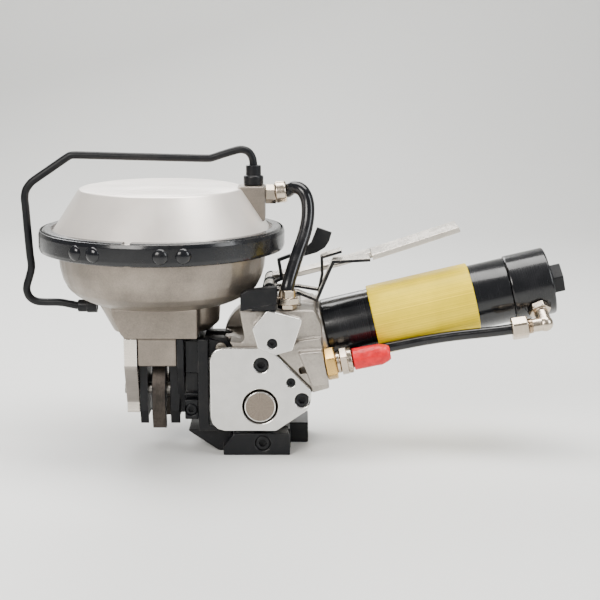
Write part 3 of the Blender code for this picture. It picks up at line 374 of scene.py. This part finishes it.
def jaw_steel(name, colour, roughness):
    """Hardened jaw steel, brown-black from its tempering, scored by the strap."""
    f = Finish(name, colour, roughness, 0.75)
    heat = f.grain(0.012, 3.0, 0.6)
    score = f.grain(0.0007, 3.0, 0.7, stretch=(1.0, 1.0, 14.0))
    f.put("Base Color", f.blend((heat * 0.6 + score * 0.4).spread(0.4, 0.7), tuple(c * 0.55 for c in colour),
                                tuple(c * 1.7 for c in colour)))
    f.put("Roughness", score.spread(0.3, 0.7, roughness - 0.1, roughness + 0.12))
    f.put("Normal", f.relief(score, 0.00006, 0.6))
    return f


FINISHES = {
    "cast_grey": sand_cast("bowl_casting", (0.26, 0.225, 0.19), 0.40),
    "cast_silver": sand_cast("case_casting", (0.40, 0.365, 0.325), 0.36, grain=0.0015, depth=0.00030),
    "satin_cover": blasted_cover("blasted_cover", (0.86, 0.80, 0.745)),
    "plate_silver": ground_plate("ground_plate", (0.66, 0.65, 0.63), 0.36),
    "bright_steel": bare_steel("bright_steel", (0.72, 0.66, 0.585), 0.24),
    "turned_steel": faced_on_lathe("turned_shaft_end", (0.21, 0.175, 0.145), 0.30, WHEEL),
    "black_steel": black_steel("blacked_steel", 0.34, (0.016, 0.0155, 0.0155)),
    "black_gloss": gloss_enamel("band_enamel", 0.22),
    "black_anodised": anodised_tube("anodised_handle", 0.20),
    "dark_jaw": jaw_steel("tempered_jaw", (0.060, 0.050, 0.043), 0.46),
    "nickel": plated("warm_nickel", (0.60, 0.51, 0.41), 0.18),
    "brass": plated("brass_bushing", (0.70, 0.44, 0.14), 0.22),
    "red_vinyl": vinyl("dipped_vinyl", (0.78, 0.004, 0.016)),
    "yellow_sleeve": grip_plastic("grip_sleeve_plastic", (0.90, 0.66, 0.004)),
    "hose_black": hose_skin("polyurethane_hose", 0.15),
    "gear_steel": bare_steel("gear_steel", (0.30, 0.285, 0.265), 0.34),
}
# on machined rims and worn black edges; darker steel for the triggers' sides, and painted shade on the
# undersides of bright steel parts
RIM = bare_steel("machined_rim", (0.86, 0.85, 0.82), 0.22)
WORN_RIM = black_steel("worn_black_rim", 0.26, (0.045, 0.043, 0.041))
# dark steel for the triggers' sides, and on their undersides as painted shade
DARK_SIDES_AND_SHADE = black_steel("sheared_edge", 0.38, (0.05, 0.043, 0.036))
# darker, rougher steel put on downward faces of bright parts: painted shade
PAINTED_SHADE_STEEL = bare_steel("unground_steel", (0.34, 0.31, 0.28), 0.38)


# ============================================================================ mesh helpers
def shown(name, bm, slot, rim=None, sharp=38.0):
    """A closed mesh made an object with its finish, normals outward, smooth below the sharp angle."""
    bmesh.ops.recalc_face_normals(bm, faces=bm.faces)
    mesh = bpy.data.meshes.new(name)
    bm.to_mesh(mesh)
    bm.free()
    mesh.materials.append(FINISHES[slot].material)
    if rim:
        mesh.materials.append(rim.material)
    mesh.shade_smooth()
    mesh.set_sharp_from_angle(angle=math.radians(sharp))
    ob = bpy.data.objects.new(name, mesh)
    bpy.context.scene.collection.objects.link(ob)
    return ob


def settled(ob):
    """The object with its modifiers worked into a plain mesh."""
    mesh = bpy.data.meshes.new_from_object(ob.evaluated_get(bpy.context.evaluated_depsgraph_get()))
    ob.modifiers.clear()
    ob.data = mesh
    return ob


def stands_for(ob, slot, *nodes):
    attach(ob, BODY_OF[nodes[0]])
    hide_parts(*nodes)
    return ob


def rides(ob, body):
    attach(ob, body)
    return ob


def merged_copy(node):
    """The node's own triangles joined into clean faces."""
    bm = bmesh.new()
    bm.from_mesh(frame["nodes"][node].data)
    bmesh.ops.remove_doubles(bm, verts=bm.verts, dist=2e-6)
    bmesh.ops.dissolve_limit(bm, angle_limit=math.radians(0.5), verts=bm.verts, edges=bm.edges)
    return bm


def eased(node, slot, width, segments=2, angle=32.0, rim=None):
    """The node with its sharp edges eased by width, as filed or machined steel has them."""
    ob = shown(node + "_finished", merged_copy(node), slot, rim)
    m = ob.modifiers.new("eased_edges", "BEVEL")
    m.width, m.segments, m.limit_method, m.angle_limit = width, segments, "ANGLE", math.radians(angle)
    m.use_clamp_overlap = False
    m.harden_normals = True
    if rim:
        m.material = 1
    w = ob.modifiers.new("flat_faces", "WEIGHTED_NORMAL")
    w.keep_sharp = True
    return stands_for(settled(ob), slot, node)


def poured(node, slot, voxel, rounds):
    """The node as a casting: rebuilt in an even skin and relaxed, which rounds every edge and corner."""
    ob = shown(node + "_casting", merged_copy(node), slot)
    m = ob.modifiers.new("skin", "REMESH")
    m.mode, m.voxel_size, m.use_smooth_shade = "VOXEL", voxel, True
    s = ob.modifiers.new("relaxed", "SMOOTH")
    s.factor, s.iterations = 0.5, rounds
    return stands_for(settled(ob), slot, node)


def softened(points, radius, steps=5):
    """An open line of (r, h) points with its inner corners rounded by radius."""
    out = [Vector(points[0])]
    for a, p, b in zip(points, points[1:], points[2:]):
        a, p, b = Vector(a), Vector(p), Vector(b)
        u, v = (a - p).normalized(), (b - p).normalized()
        half = u.angle(v) / 2
        reach = min(radius / math.tan(half), 0.45 * (a - p).length, 0.45 * (b - p).length)
        if half > math.radians(86):
            out.append(p)
            continue
        for k in range(steps + 1):
            t = k / steps
            out.append((1 - t) ** 2 * (p + u * reach) + 2 * t * (1 - t) * p + t * t * (p + v * reach))
    out.append(Vector(points[-1]))
    return [tuple(p) for p in out]


def turned(profile, origin, axis, steps=96):
    """Closed solid: a line of (radius, height) points turned about an axis.

    The line ends on the axis, or its last point joins its first.
    """
    bm = bmesh.new()
    origin, q = Vector(origin), Vector(axis).to_track_quat("Z", "Y").to_matrix()
    rings = []
    for r, h in profile:
        on_axis = r < 1e-7
        angles = [0.0] if on_axis else [2 * math.pi * k / steps for k in range(steps)]
        rings.append([bm.verts.new(origin + q @ Vector((r * math.cos(a), r * math.sin(a), h)))
                      for a in angles])
    pairs = list(zip(rings, rings[1:]))
    if len(rings[0]) > 1 and len(rings[-1]) > 1:
        pairs.append((rings[-1], rings[0]))
    for a, b in pairs:
        for k in range(steps):
            j = (k + 1) % steps
            corners = [a[k % len(a)], a[j % len(a)], b[j % len(b)], b[k % len(b)]]
            corners = [c for i, c in enumerate(corners) if c not in corners[:i]]
            if len(corners) > 2:
                bm.faces.new(corners)
    return bm


def joined(*parts):
    """Several closed meshes in one, each a body of its own."""
    whole = bmesh.new()
    for part in parts:
        mesh = bpy.data.meshes.new("part")
        bmesh.ops.recalc_face_normals(part, faces=part.faces)
        part.to_mesh(mesh)
        part.free()
        whole.from_mesh(mesh)
        bpy.data.meshes.remove(mesh)
    return whole


def curve_through(points, step):
    """Points every step metres on a smooth line through the given ones."""
    c = [Vector(p) for p in points]
    c = [2 * c[0] - c[1]] + c + [2 * c[-1] - c[-2]]
    fine = []
    for a, b, d, e in zip(c, c[1:], c[2:], c[3:]):
        for k in range(40):
            t = k / 40
            fine.append(0.5 * (2 * b + (d - a) * t + (2 * a - 5 * b + 4 * d - e) * t * t
                               + (3 * b - a - 3 * d + e) * t ** 3))
    fine.append(c[-2])
    out, run = [fine[0]], 0.0
    for a, b in zip(fine, fine[1:]):
        run += (b - a).length
        if run >= step:
            out.append(b)
            run = 0.0
    out[-1] = fine[-1]
    return out


# ============================================================================ geometry trees
class Tree:
    """A geometry node tree: named inputs, nodes through add(), ended by close()."""

    def __init__(self, name, inputs):
        self.group = bpy.data.node_groups.new(name, "GeometryNodeTree")
        face = self.group.interface
        face.new_socket("Geometry", in_out="INPUT", socket_type="NodeSocketGeometry")
        for label, kind in inputs.items():
            face.new_socket(label, in_out="INPUT", socket_type="NodeSocket" + kind)
        face.new_socket("Geometry", in_out="OUTPUT", socket_type="NodeSocketGeometry")
        self.entry = self.group.nodes.new("NodeGroupInput")
        self.exit = self.group.nodes.new("NodeGroupOutput")

    def given(self, label):
        return self.entry.outputs[label]

    def add(self, kind, settings=None, sockets=None, out=0):
        made = self.group.nodes.new(kind)
        for key, value in (settings or {}).items():
            setattr(made, key, value)
        for key, value in (sockets or {}).items():
            if isinstance(value, bpy.types.NodeSocket):
                self.group.links.new(value, made.inputs[key])
            else:
                made.inputs[key].default_value = value
        return made.outputs[out]

    def close(self, geometry):
        plain = self.add("GeometryNodeRealizeInstances", None, {"Geometry": geometry})
        smooth = self.add("GeometryNodeSetShadeSmooth", None, {0: plain})
        painted = self.add("GeometryNodeSetMaterial", None,
                           {"Geometry": smooth, "Material": self.given("Finish")})
        self.group.links.new(painted, self.exit.inputs[0])
        return self


def grown(name, seed_mesh, tree, slot, sharp=38.0, **values):
    """An object from a tree fed with seed_mesh and its named inputs, made a plain mesh."""
    ob = bpy.data.objects.new(name, seed_mesh)
    bpy.context.scene.collection.objects.link(ob)
    m = ob.modifiers.new(tree.group.name, "NODES")
    m.node_group = tree.group
    values["Finish"] = FINISHES[slot].material
    for item in tree.group.interface.items_tree:
        label = item.name.replace(" ", "_")
        if item.in_out == "INPUT" and label in values:
            m[item.identifier] = values[label]
    settled(ob)
    ob.data.set_sharp_from_angle(angle=math.radians(sharp))
    return ob


def tube_tree():
    """A round tube along a chain of edges, its ends closed."""
    t = Tree("tube_along_line", {"Radius": "Float", "Sides": "Int", "Finish": "Material"})
    line = t.add("GeometryNodeMeshToCurve", None, {0: t.given("Geometry")})
    ring = t.add("GeometryNodeCurvePrimitiveCircle", {"mode": "RADIUS"},
                 {"Resolution": t.given("Sides"), "Radius": t.given("Radius")})
    return t.close(t.add("GeometryNodeCurveToMesh", None, {"Curve": line, "Profile Curve": ring,
                                                           "Fill Caps": True}))


def heads_tree():
    """A head on every point, sized and faced by the points' own attributes."""
    t = Tree("heads_on_points", {"Head": "Object", "Finish": "Material"})
    head = t.add("GeometryNodeObjectInfo", {"transform_space": "ORIGINAL"}, {"Object": t.given("Head")},
                 "Geometry")
    size = t.add("GeometryNodeInputNamedAttribute", {"data_type": "FLOAT"}, {"Name": "size"}, "Attribute")
    facing = t.add("GeometryNodeInputNamedAttribute", {"data_type": "FLOAT_VECTOR"}, {"Name": "facing"},
                   "Attribute")
    turn = t.add("FunctionNodeAlignRotationToVector", {"axis": "Z"}, {"Vector": facing})
    points = t.add("GeometryNodeMeshToPoints", None, {"Mesh": t.given("Geometry")})
    spread = t.add("GeometryNodeInstanceOnPoints", None,
                   {"Points": points, "Instance": head, "Rotation": turn, "Scale": size})
    return t.close(spread)


def ribs_tree():
    """Square ribs set in a ring, which is then turned and moved to its place."""
    t = Tree("ring_of_ribs", {"Count": "Int", "Radius": "Float", "Rib": "Vector", "Place": "Vector",
                              "Turn": "Rotation", "Finish": "Material"})
    ring = t.add("GeometryNodeMeshCircle", None, {"Vertices": t.given("Count"), "Radius": t.given("Radius")})
    rib = t.add("GeometryNodeMeshCube", None, {"Size": t.given("Rib")}, "Mesh")
    spot = t.add("GeometryNodeInputPosition")
    turn = t.add("FunctionNodeAlignRotationToVector", {"axis": "X", "pivot_axis": "Z"}, {"Vector": spot})
    ribs = t.add("GeometryNodeInstanceOnPoints", None, {"Points": ring, "Instance": rib, "Rotation": turn})
    placed = t.add("GeometryNodeTransform", None, {"Geometry": ribs, "Translation": t.given("Place"),
                                                  "Rotation": t.given("Turn")})
    return t.close(placed)


TUBE, HEADS, RIBS = tube_tree(), heads_tree(), ribs_tree()


def line_mesh(points):
    mesh = bpy.data.meshes.new("line")
    mesh.from_pydata([tuple(p) for p in points], [(k, k + 1) for k in range(len(points) - 1)], [])
    return mesh


def tube(name, points, radius, slot, sides=28):
    return grown(name, line_mesh(points), TUBE, slot, Radius=radius, Sides=sides)


def heads(name, head, places, slot, sharp=38.0):
    """places is a list of (point, facing, size)."""
    mesh = bpy.data.meshes.new(name + "_points")
    mesh.from_pydata([tuple(p) for p, _, _ in places], [], [])
    size = mesh.attributes.new("size", "FLOAT", "POINT")
    facing = mesh.attributes.new("facing", "FLOAT_VECTOR", "POINT")
    for k, (_, direction, s) in enumerate(places):
        size.data[k].value = s
        facing.data[k].vector = direction
    return grown(name, mesh, HEADS, slot, sharp, Head=head)


def ribs(name, place, axis, radius, count, rib, slot):
    turn = Vector(axis).to_track_quat("Z", "Y").to_euler()
    return grown(name, bpy.data.meshes.new(name), RIBS, slot, Count=count, Radius=radius, Rib=rib,
                 Place=tuple(place), Turn=turn)


def pattern(name, bm, slot):
    """A hidden head that a tree copies; it is removed once it has been used."""
    ob = shown(name, bm, slot)
    ob.hide_render = True
    return ob


# ============================================================================ hoses and bail
SEAL_HOSE_TOP, SEAL_HOSE_END = (0.0174, 0.0, 0.1973), (*LOW_FITTING, 0.1242)


def seal_hose():
    """Hose from the cover's fitting over and down to the valve."""
    route = [(0.0216, 0.0, 0.1977), (0.0265, -0.0022, 0.2009), (0.0328, -0.0065, 0.1988),
             (0.0366, -0.0090, 0.1908), (0.0369, -0.0125, 0.1790), (0.0342, -0.0175, 0.1665),
             (0.0300, -0.0230, 0.1550), (0.0258, -0.0290, 0.1430), (0.0226, -0.0342, 0.1330),
             (*LOW_FITTING, 0.1284)]
    line = [SEAL_HOSE_TOP] + curve_through(route, 0.0022) + [SEAL_HOSE_END]
    ob = tube("seal_hose_tube", line, SEAL_HOSE_R, "hose_black", 36)
    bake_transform(ob)
    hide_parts("seal_hose")


def motor_hose():
    """Air line from the case's stub along under the handle into the elbow's nut."""
    nut = ELBOW_BALL + ELBOW_ALONG * 0.0133
    route = [nut + ELBOW_ALONG * 0.001, nut + ELBOW_ALONG * 0.020, (0.150, -0.0296, 0.0909),
             (0.128, -0.0272, 0.0870), (0.110, -0.0266, 0.0834), (0.092, -0.0266, 0.0797),
             (0.078, -0.0264, 0.0756), (0.0685, -0.0236, 0.0702), (0.0606, -0.0215, 0.0666)]
    line = curve_through(route, 0.003) + [Vector((0.0552, -0.0215, 0.0666))]
    stands_for(tube("motor_hose_tube", line, MOTOR_HOSE_R, "hose_black", 32), "hose_black", "motor_hose")


def bail():
    """Bent round bar from the side of the neck, up the left and over the cover to its boss."""
    route = [(-127.4, 108.2), (-134.0, 108.2), (-141.5, 108.2), (-146.0, 109.0), (-156.0, 110.8),
             (-168.0, 111.0), (-174.5, 111.8), (-179.2, 114.8), (-181.3, 119.5), (-181.2, 124.0),
             (-179.2, 130.5), (-177.4, 137.0), (-177.2, 142.0), (-177.9, 148.2), (-179.0, 166.0),
             (-180.0, 185.0), (-180.5, 192.0), (-179.4, 198.2), (-176.4, 202.8), (-173.0, 206.0),
             (-160.6, 214.4), (-148.5, 222.6), (-145.0, 224.6), (-141.0, 225.4), (-115.0, 224.7),
             (-89.0, 224.0), (-65.0, 223.4), (-41.0, 222.9), (-36.0, 223.4), (-27.6, 226.1), (-16.0, 229.4),
             (-11.6, 229.2), (-8.2, 227.6), (-5.7, 224.0), (-4.7, 219.4), (-4.6, 212.0), (-4.6, 203.5)]
    line = curve_through([(x * MM, 0.0, z * MM) for x, z in route], 0.0016)
    stands_for(tube("bail_bar", line, BAIL_R, "black_steel", 32), "black_steel", "bail_handle")


# ============================================================================ sealing cylinder
def in_metres(points):
    """Outline points in metres, from points in millimetres."""
    return [(r * MM, h * MM) for r, h in points]


def cover():
    """Domed cover: shallow top, cone and flange."""
    foot = SPLIT_MM + 0.15
    outer = softened([(0.0, 202.8), (30.0, 202.5), (56.0, 201.8)], 30.0)
    outer += softened([(56.0, 201.8), (62.6, 200.6), (83.4, 168.9), (FLANGE_R, 165.8), (FLANGE_R, foot)],
                      3.2, 8)[1:]
    inner = [(76.0, foot), (76.0, 171.0), (60.4, 196.0), (55.0, 197.6), (0.0, 198.8)]
    bm = turned(in_metres(outer + inner), CAN, (0, 0, 1), 160)
    stands_for(shown("cover_dome", bm, "satin_cover", sharp=50.0), "satin_cover", "top_cover")


def cover_boss():
    """Wedge on the cover, left as cast, that carries the bail's nut and the seal hose's fitting."""
    half_width = 0.012
    bm = bmesh.new()
    side = [(-25.0, 190.0), (-25.0, 198.5), (-16.0, 201.4), (-13.0, 202.35), (3.0, 202.35), (4.4, 200.9),
            (4.4, 176.5), (-4.0, 173.5)]
    face = bm.faces.new([bm.verts.new((x, -half_width, z)) for x, z in in_metres(side)])
    copied = bmesh.ops.extrude_face_region(bm, geom=[face])["geom"]
    corners = [g for g in copied if isinstance(g, bmesh.types.BMVert)]
    bmesh.ops.translate(bm, verts=corners, vec=(0, 2 * half_width, 0))
    boss = shown("cover_boss", bm, "satin_cover")
    m = boss.modifiers.new("soft_edges", "BEVEL")
    m.width, m.segments, m.limit_method = 0.0012, 3, "ANGLE"
    boss.modifiers.new("flat_faces", "WEIGHTED_NORMAL").keep_sharp = True
    boss.data.materials[0] = FINISHES["cast_grey"].material
    rides(settled(boss), "frame")


def rivets():
    """Domed rivets that hold the band to its segments, four at the front gap and four at the back."""
    dome = [(0.0, 0.42), (0.35, 0.385), (0.62, 0.29), (0.82, 0.15), (0.93, 0.0), (0.93, -0.22), (0.0, -0.22)]
    head = pattern("rivet_head", turned(dome, (0, 0, 0), (0, 0, 1), 36), "black_gloss")
    places = []
    for base in (CLAMP_GAP, CLAMP_GAP + math.pi):
        for degrees in (-25.5, -15.5, 15.5, 25.5):
            a = base + math.radians(degrees)
            d = Vector((math.cos(a), math.sin(a), 0.0))
            places.append((Vector((CAN.x, 0, 0.1618)) + d * CLAMP_R, d, 0.0062))
    rides(heads("clamp_rivets", head, places, "black_gloss"), "frame")
    bpy.data.objects.remove(head)


def turned_part(profile, origin, start, end, steps=120):
    """Closed outline of (radius, height) points swept about +Z from one angle to another, its ends capped."""
    bm = bmesh.new()
    rows = []
    for k in range(steps + 1):
        a = start + (end - start) * k / steps
        rows.append([bm.verts.new(Vector(origin) + Vector((r * math.cos(a), r * math.sin(a), h)))
                     for r, h in profile])
    for a, b in zip(rows, rows[1:]):
        for k in range(len(profile)):
            j = (k + 1) % len(profile)
            bm.faces.new((a[k], a[j], b[j], b[k]))
    bm.faces.new(rows[0])
    bm.faces.new(rows[-1][::-1])
    return bm


def clamp():
    """V-band: two grooved segments, the strap outside them with its two lugs, the bolt and the rivets."""
    lip = softened([(84.8, 171.0), (90.6, 171.0), (92.5, 168.8)], 2.4, 6)
    foot = softened([(92.5, 155.6), (90.6, 153.4), (84.8, 153.4)], 2.4, 6)
    groove = [(84.6, 155.9), (88.4, 158.1), (88.4, 166.3), (84.6, 168.3)]
    section = in_metres(lip + foot + groove)
    slit = math.radians(1.9)
    for side, node in ((1, "clamp_segment_left"), (-1, "clamp_segment_right")):
        start, end = CLAMP_GAP + side * slit, CLAMP_GAP + side * (math.pi - slit)
        ob = shown(node + "_section", turned_part(section, CAN, start, end), "black_gloss", sharp=45.0)
        stands_for(ob, "black_gloss", node)
    band = softened([(92.7, 154.4), (93.5, 154.6), (94.3, 157.2), (94.3, 167.2), (93.5, 169.9),
                     (92.7, 170.1)], 1.8, 5)
    half = math.radians(3.9)
    back = CLAMP_GAP + math.pi
    sweep = turned_part(in_metres(band), CAN, back + half, back + 2 * math.pi - half, 200)
    lugs = []
    for side in (-1, 1):
        a = back + side * math.radians(6.2)
        d = Vector((math.cos(a), math.sin(a), 0.0))
        lug = softened([(0.0, 0.0930), (0.0054, 0.0930), (0.0054, 0.1014), (0.0, 0.1014)], 0.0008)
        lugs.append(turned(lug, (CAN.x, 0, SPLIT_Z), d, 32))
    ob = shown("clamp_strap", joined(sweep, *lugs), "black_gloss", sharp=45.0)
    stands_for(ob, "black_gloss", "clamp_band")
    eased("clamp_bolt", "bright_steel", 0.0004)
    rivets()


# ============================================================================ screws and fittings
def hexagon_line(r, k, steps):
    """Distance from the middle to a hexagon's side, in the direction of step k of a full turn."""
    a = 2 * math.pi * k / steps
    return r * math.cos(math.pi / 6) / math.cos((a % (math.pi / 3)) - math.pi / 6)


def socket_head(depth=0.66):
    """Socket cap head of radius 1, its top at height 0: chamfered rim, hexagon recess, cone at its foot."""
    steps = 48
    bm = bmesh.new()
    rings = []
    for r, h, six in ((1.0, -0.55, 0), (1.0, -0.13, 0), (0.975, -0.06, 0), (0.91, -0.01, 0), (0.86, 0.0, 0),
                      (0.60, 0.0, 1), (0.565, -0.035, 1), (0.56, -depth, 1)):
        ring = []
        for k in range(steps):
            a = 2 * math.pi * k / steps
            reach = hexagon_line(r, k, steps) if six else r
            ring.append(bm.verts.new((reach * math.cos(a), reach * math.sin(a), h)))
        rings.append(ring)
    for a, b in zip(rings, rings[1:]):
        for k in range(steps):
            j = (k + 1) % steps
            bm.faces.new((a[k], a[j], b[j], b[k]))
    foot = bm.verts.new((0, 0, -depth - 0.12))
    back = bm.verts.new((0, 0, -0.9))
    for k in range(steps):
        j = (k + 1) % steps
        bm.faces.new((rings[-1][k], rings[-1][j], foot))
        bm.faces.new((rings[0][j], rings[0][k], back))
    return bm


def socket_screws():
    """Finer heads of the socket screws; the shanks stay hidden in their bores."""
    head = pattern("socket_head", socket_head(), "black_steel")
    screws = {"tension_unit": ("plate_screw_1", "plate_screw_2", "plate_screw_3", "valve_cover_screw"),
              "frame": ("foot_screw", "guide_screw")}
    for body, nodes in screws.items():
        places = []
        for node in nodes:
            low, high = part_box(node)
            top = ((low.x + high.x) / 2, low.y, (low.z + high.z) / 2)
            places.append((top, (0, -1, 0), (high.z - low.z) / 2))
        ob = heads(body + "_socket_heads", head, places, "black_steel", 30.0)
        rides(ob, body)
        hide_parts(*nodes)
    bpy.data.objects.remove(head)


def threads(name, place, axis, radius, pitch, turns, slot, body):
    """Rings of a screw thread between two fittings."""
    line = [(0.0, 0.0)]
    for k in range(turns):
        line += [(radius * 0.93, k * pitch), (radius, (k + 0.5) * pitch)]
    line += [(radius * 0.93, turns * pitch), (0.0, turns * pitch)]
    return rides(shown(name, turned(line, place, axis, 40), slot, sharp=80.0), body)


def air_inlet():
    """Brass bushing, nickel quick plug with its knurled collar, and the crumpled vinyl dust cap."""
    eased("inlet_bushing", "brass", 0.0006, segments=3)
    eased("quick_plug", "nickel", 0.0004, segments=3)
    knurl = ribs("plug_knurl", INLET_0 + INLET_D * 0.0189, INLET_D, 0.00945, 44, (0.0006, 0.00075, 0.0027),
                 "nickel")
    rides(knurl, "tension_unit")
    threads("bushing_thread", INLET_0 + INLET_D * 0.0084, INLET_D, 0.0080, 0.0009, 4, "nickel",
            "tension_unit")
    outer = softened([(0.0, 50.0), (5.0, 49.9), (6.4, 47.6), (8.1, 42.8), (8.2, 30.0), (8.3, 21.6),
                      (6.2, 21.6)], 1.4)
    inner = [(6.2, 43.2), (4.6, 46.0), (0.0, 46.6)]
    bm = turned(in_metres(outer + inner), INLET_0, INLET_D, 96)
    bmesh.ops.subdivide_edges(bm, edges=[e for e in bm.edges if e.calc_length() > 0.004], cuts=5)
    for v in bm.verts:                      # dents where it was squeezed on, on the outer wall only
        rel = v.co - INLET_0
        h = rel.dot(INLET_D)
        out = rel - INLET_D * h
        if out.length > 0.0066:
            dent = noise.noise(v.co * 260.0) * 0.00042 + noise.noise(v.co * 620.0) * 0.00016
            v.co -= out.normalized() * (abs(dent) + 0.00002)
    stands_for(shown("dust_cap_vinyl", bm, "red_vinyl", sharp=60.0), "red_vinyl", "dust_cap")


def fittings():
    """Elbow and its nut on the motor hose, and the two fittings of the seal hose."""
    eased("elbow_fitting", "nickel", 0.0005, segments=3)
    eased("elbow_nut", "nickel", 0.0004, segments=3, angle=25.0)
    eased("seal_fitting_top", "nickel", 0.0005, segments=3)
    eased("seal_fitting_low", "nickel", 0.0005, segments=3)
    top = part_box("seal_fitting_low")[1].z
    knurl = ribs("low_collar_knurl", (*LOW_FITTING, top - 0.0032), (0, 0, 1), 0.0064, 36,
                 (0.0005, 0.0006, 0.0034), "nickel")
    rides(knurl, "tension_unit")
    threads("elbow_thread", ELBOW_BALL + ELBOW_ALONG * 0.0098, ELBOW_ALONG, 0.0060, 0.0008, 4, "nickel",
            "tension_unit")


# ============================================================================ handle
def handle():
    """Anodised motor tube with its groove, yellow sleeve, end cap and plug."""
    barrel = softened([(21.2, 0.3), (24.4, 0.3), (25.1, 1.2), (25.1, 33.0)], 0.6)
    barrel += [(25.1, 34.2), (24.75, 34.5), (24.75, 35.1), (25.1, 35.4), (25.1, 144.4), (24.7, 145.2),
               (21.2, 145.3)]
    ob = shown("handle_barrel", turned(in_metres(barrel), MOTOR_0, MOTOR_D, 144), "black_anodised")
    stands_for(ob, "black_anodised", "handle_tube")
    sleeve = softened([(25.3, 37.8), (27.0, 37.8), (27.5, 38.5), (27.5, 116.4), (27.0, 117.2),
                       (25.3, 117.2)], 0.5)
    ob = shown("grip_sleeve_tube", turned(in_metres(sleeve), MOTOR_0, MOTOR_D, 144), "yellow_sleeve")
    stands_for(ob, "yellow_sleeve", "grip_sleeve")
    eased("end_cap", "black_anodised", 0.0006, segments=3)
    eased("end_plug", "black_steel", 0.0006, segments=3)


# ============================================================================ all the rest
def castings():
    poured("sealer_housing", "cast_grey", 0.0010, 7)
    poured("gear_case", "cast_silver", 0.0008, 6)


def darkened(ob, finish, wanted):
    """Gives the faces that wanted(normal, centre) picks another, darker finish: painted shade on undersides,
    and the triggers' darker sides.
    """
    ob.data.materials.append(finish.material)
    last = len(ob.data.materials) - 1
    for face in ob.data.polygons:
        if wanted(face.normal, face.center):
            face.material_index = last
    return ob


def plates():
    eased("side_plate", "plate_silver", 0.0007, segments=3, rim=RIM)
    eased("valve_cover", "plate_silver", 0.0006, segments=3, rim=RIM)
    eased("rear_cover", "plate_silver", 0.0005, rim=RIM)
    eased("jaw_plate_left", "bright_steel", 0.0006, segments=3, rim=RIM)
    # the left jaw plate's faces that look down and forward get the darker steel: painted shade
    darkened(bpy.data.objects["jaw_plate_left_finished"], PAINTED_SHADE_STEEL, lambda n, c: n.z < -0.25 and n.y < -0.4)
    eased("wheel_shaft", "turned_steel", 0.0004, segments=3, rim=RIM)
    eased("tension_wheel", "gear_steel", 0.00012, segments=1)
    eased("gripper_plug", "gear_steel", 0.0002, segments=1)


def black_parts():
    for node, width in (("foot_shoe", 0.0007), ("base_frame", 0.0006), ("guide_block", 0.0006),
                        ("jaw_plate_right", 0.0005), ("jaw_cheek_left", 0.0005), ("lever_bracket", 0.0006),
                        ("bail_nut_top", 0.0004), ("bail_nut_side", 0.0004), ("thumb_lever", 0.0004)):
        eased(node, "black_steel", width, rim=WORN_RIM)
    for node in ("jaw_front", "jaw_rear"):
        eased(node, "dark_jaw", 0.0006, rim=WORN_RIM)


def lever_set():
    """Bent sheet levers: bright on their faces, with painted shade on their undersides and the two triggers'
    sides darkened.
    """
    eased("lift_lever", "bright_steel", 0.0005, segments=3)
    # the lift lever's underside gets the darker steel: painted shade
    darkened(bpy.data.objects["lift_lever_finished"], PAINTED_SHADE_STEEL, lambda n, c: n.z < -0.3)
    for node in ("tension_trigger", "seal_trigger"):
        eased(node, "bright_steel", 0.0003, segments=2)
        # triggers: sides darkened, and undersides darkened as painted shade
        darkened(bpy.data.objects[node + "_finished"], DARK_SIDES_AND_SHADE, lambda n, c: abs(n.y) > 0.5 or n.z < -0.2)


def finish_the_rest():
    """What stays as packed, mostly inside, takes its finish from the record's slot."""
    slots = {s["node"]: s["material_slot"] for s in frame["record"]["subparts"]}
    for node, ob in frame["nodes"].items():
        if not ob.hide_render:
            ob.data.materials.clear()
            ob.data.materials.append(FINISHES[slots[node]].material)


def floor():
    """Pale sweep: a floor that turns up into a wall behind the tool."""
    bm = bmesh.new()
    line = [(-2.2, 0.0), (1.1, 0.0)] + [(1.1 + 0.5 * math.sin(a), 0.5 - 0.5 * math.cos(a))
                                        for a in [math.pi / 2 * k / 12 for k in range(1, 13)]] + [(1.6, 2.6)]
    rows = [[bm.verts.new((x, y, z - 0.0002)) for y, z in line] for x in (-3.0, 3.0)]
    for k in range(len(line) - 1):
        bm.faces.new((rows[0][k], rows[1][k], rows[1][k + 1], rows[0][k + 1]))
    mesh = bpy.data.meshes.new("sweep")
    bm.to_mesh(mesh)
    bm.free()
    mesh.shade_smooth()
    paper = Finish("pale_sweep", (0.78, 0.785, 0.77), 0.5)
    cloud = paper.grain(0.5, 2.0)
    paper.tinted(cloud.spread(0.3, 0.7), 0.985, 1.01)
    mesh.materials.append(paper.material)
    ob = bpy.data.objects.new("sweep", mesh)
    bpy.context.scene.collection.objects.link(ob)


camera()
seal_hose()
motor_hose()
bail()
cover()
cover_boss()
clamp()
castings()
plates()
black_parts()
socket_screws()
air_inlet()
fittings()
handle()
lever_set()
finish_the_rest()
floor()
studio()
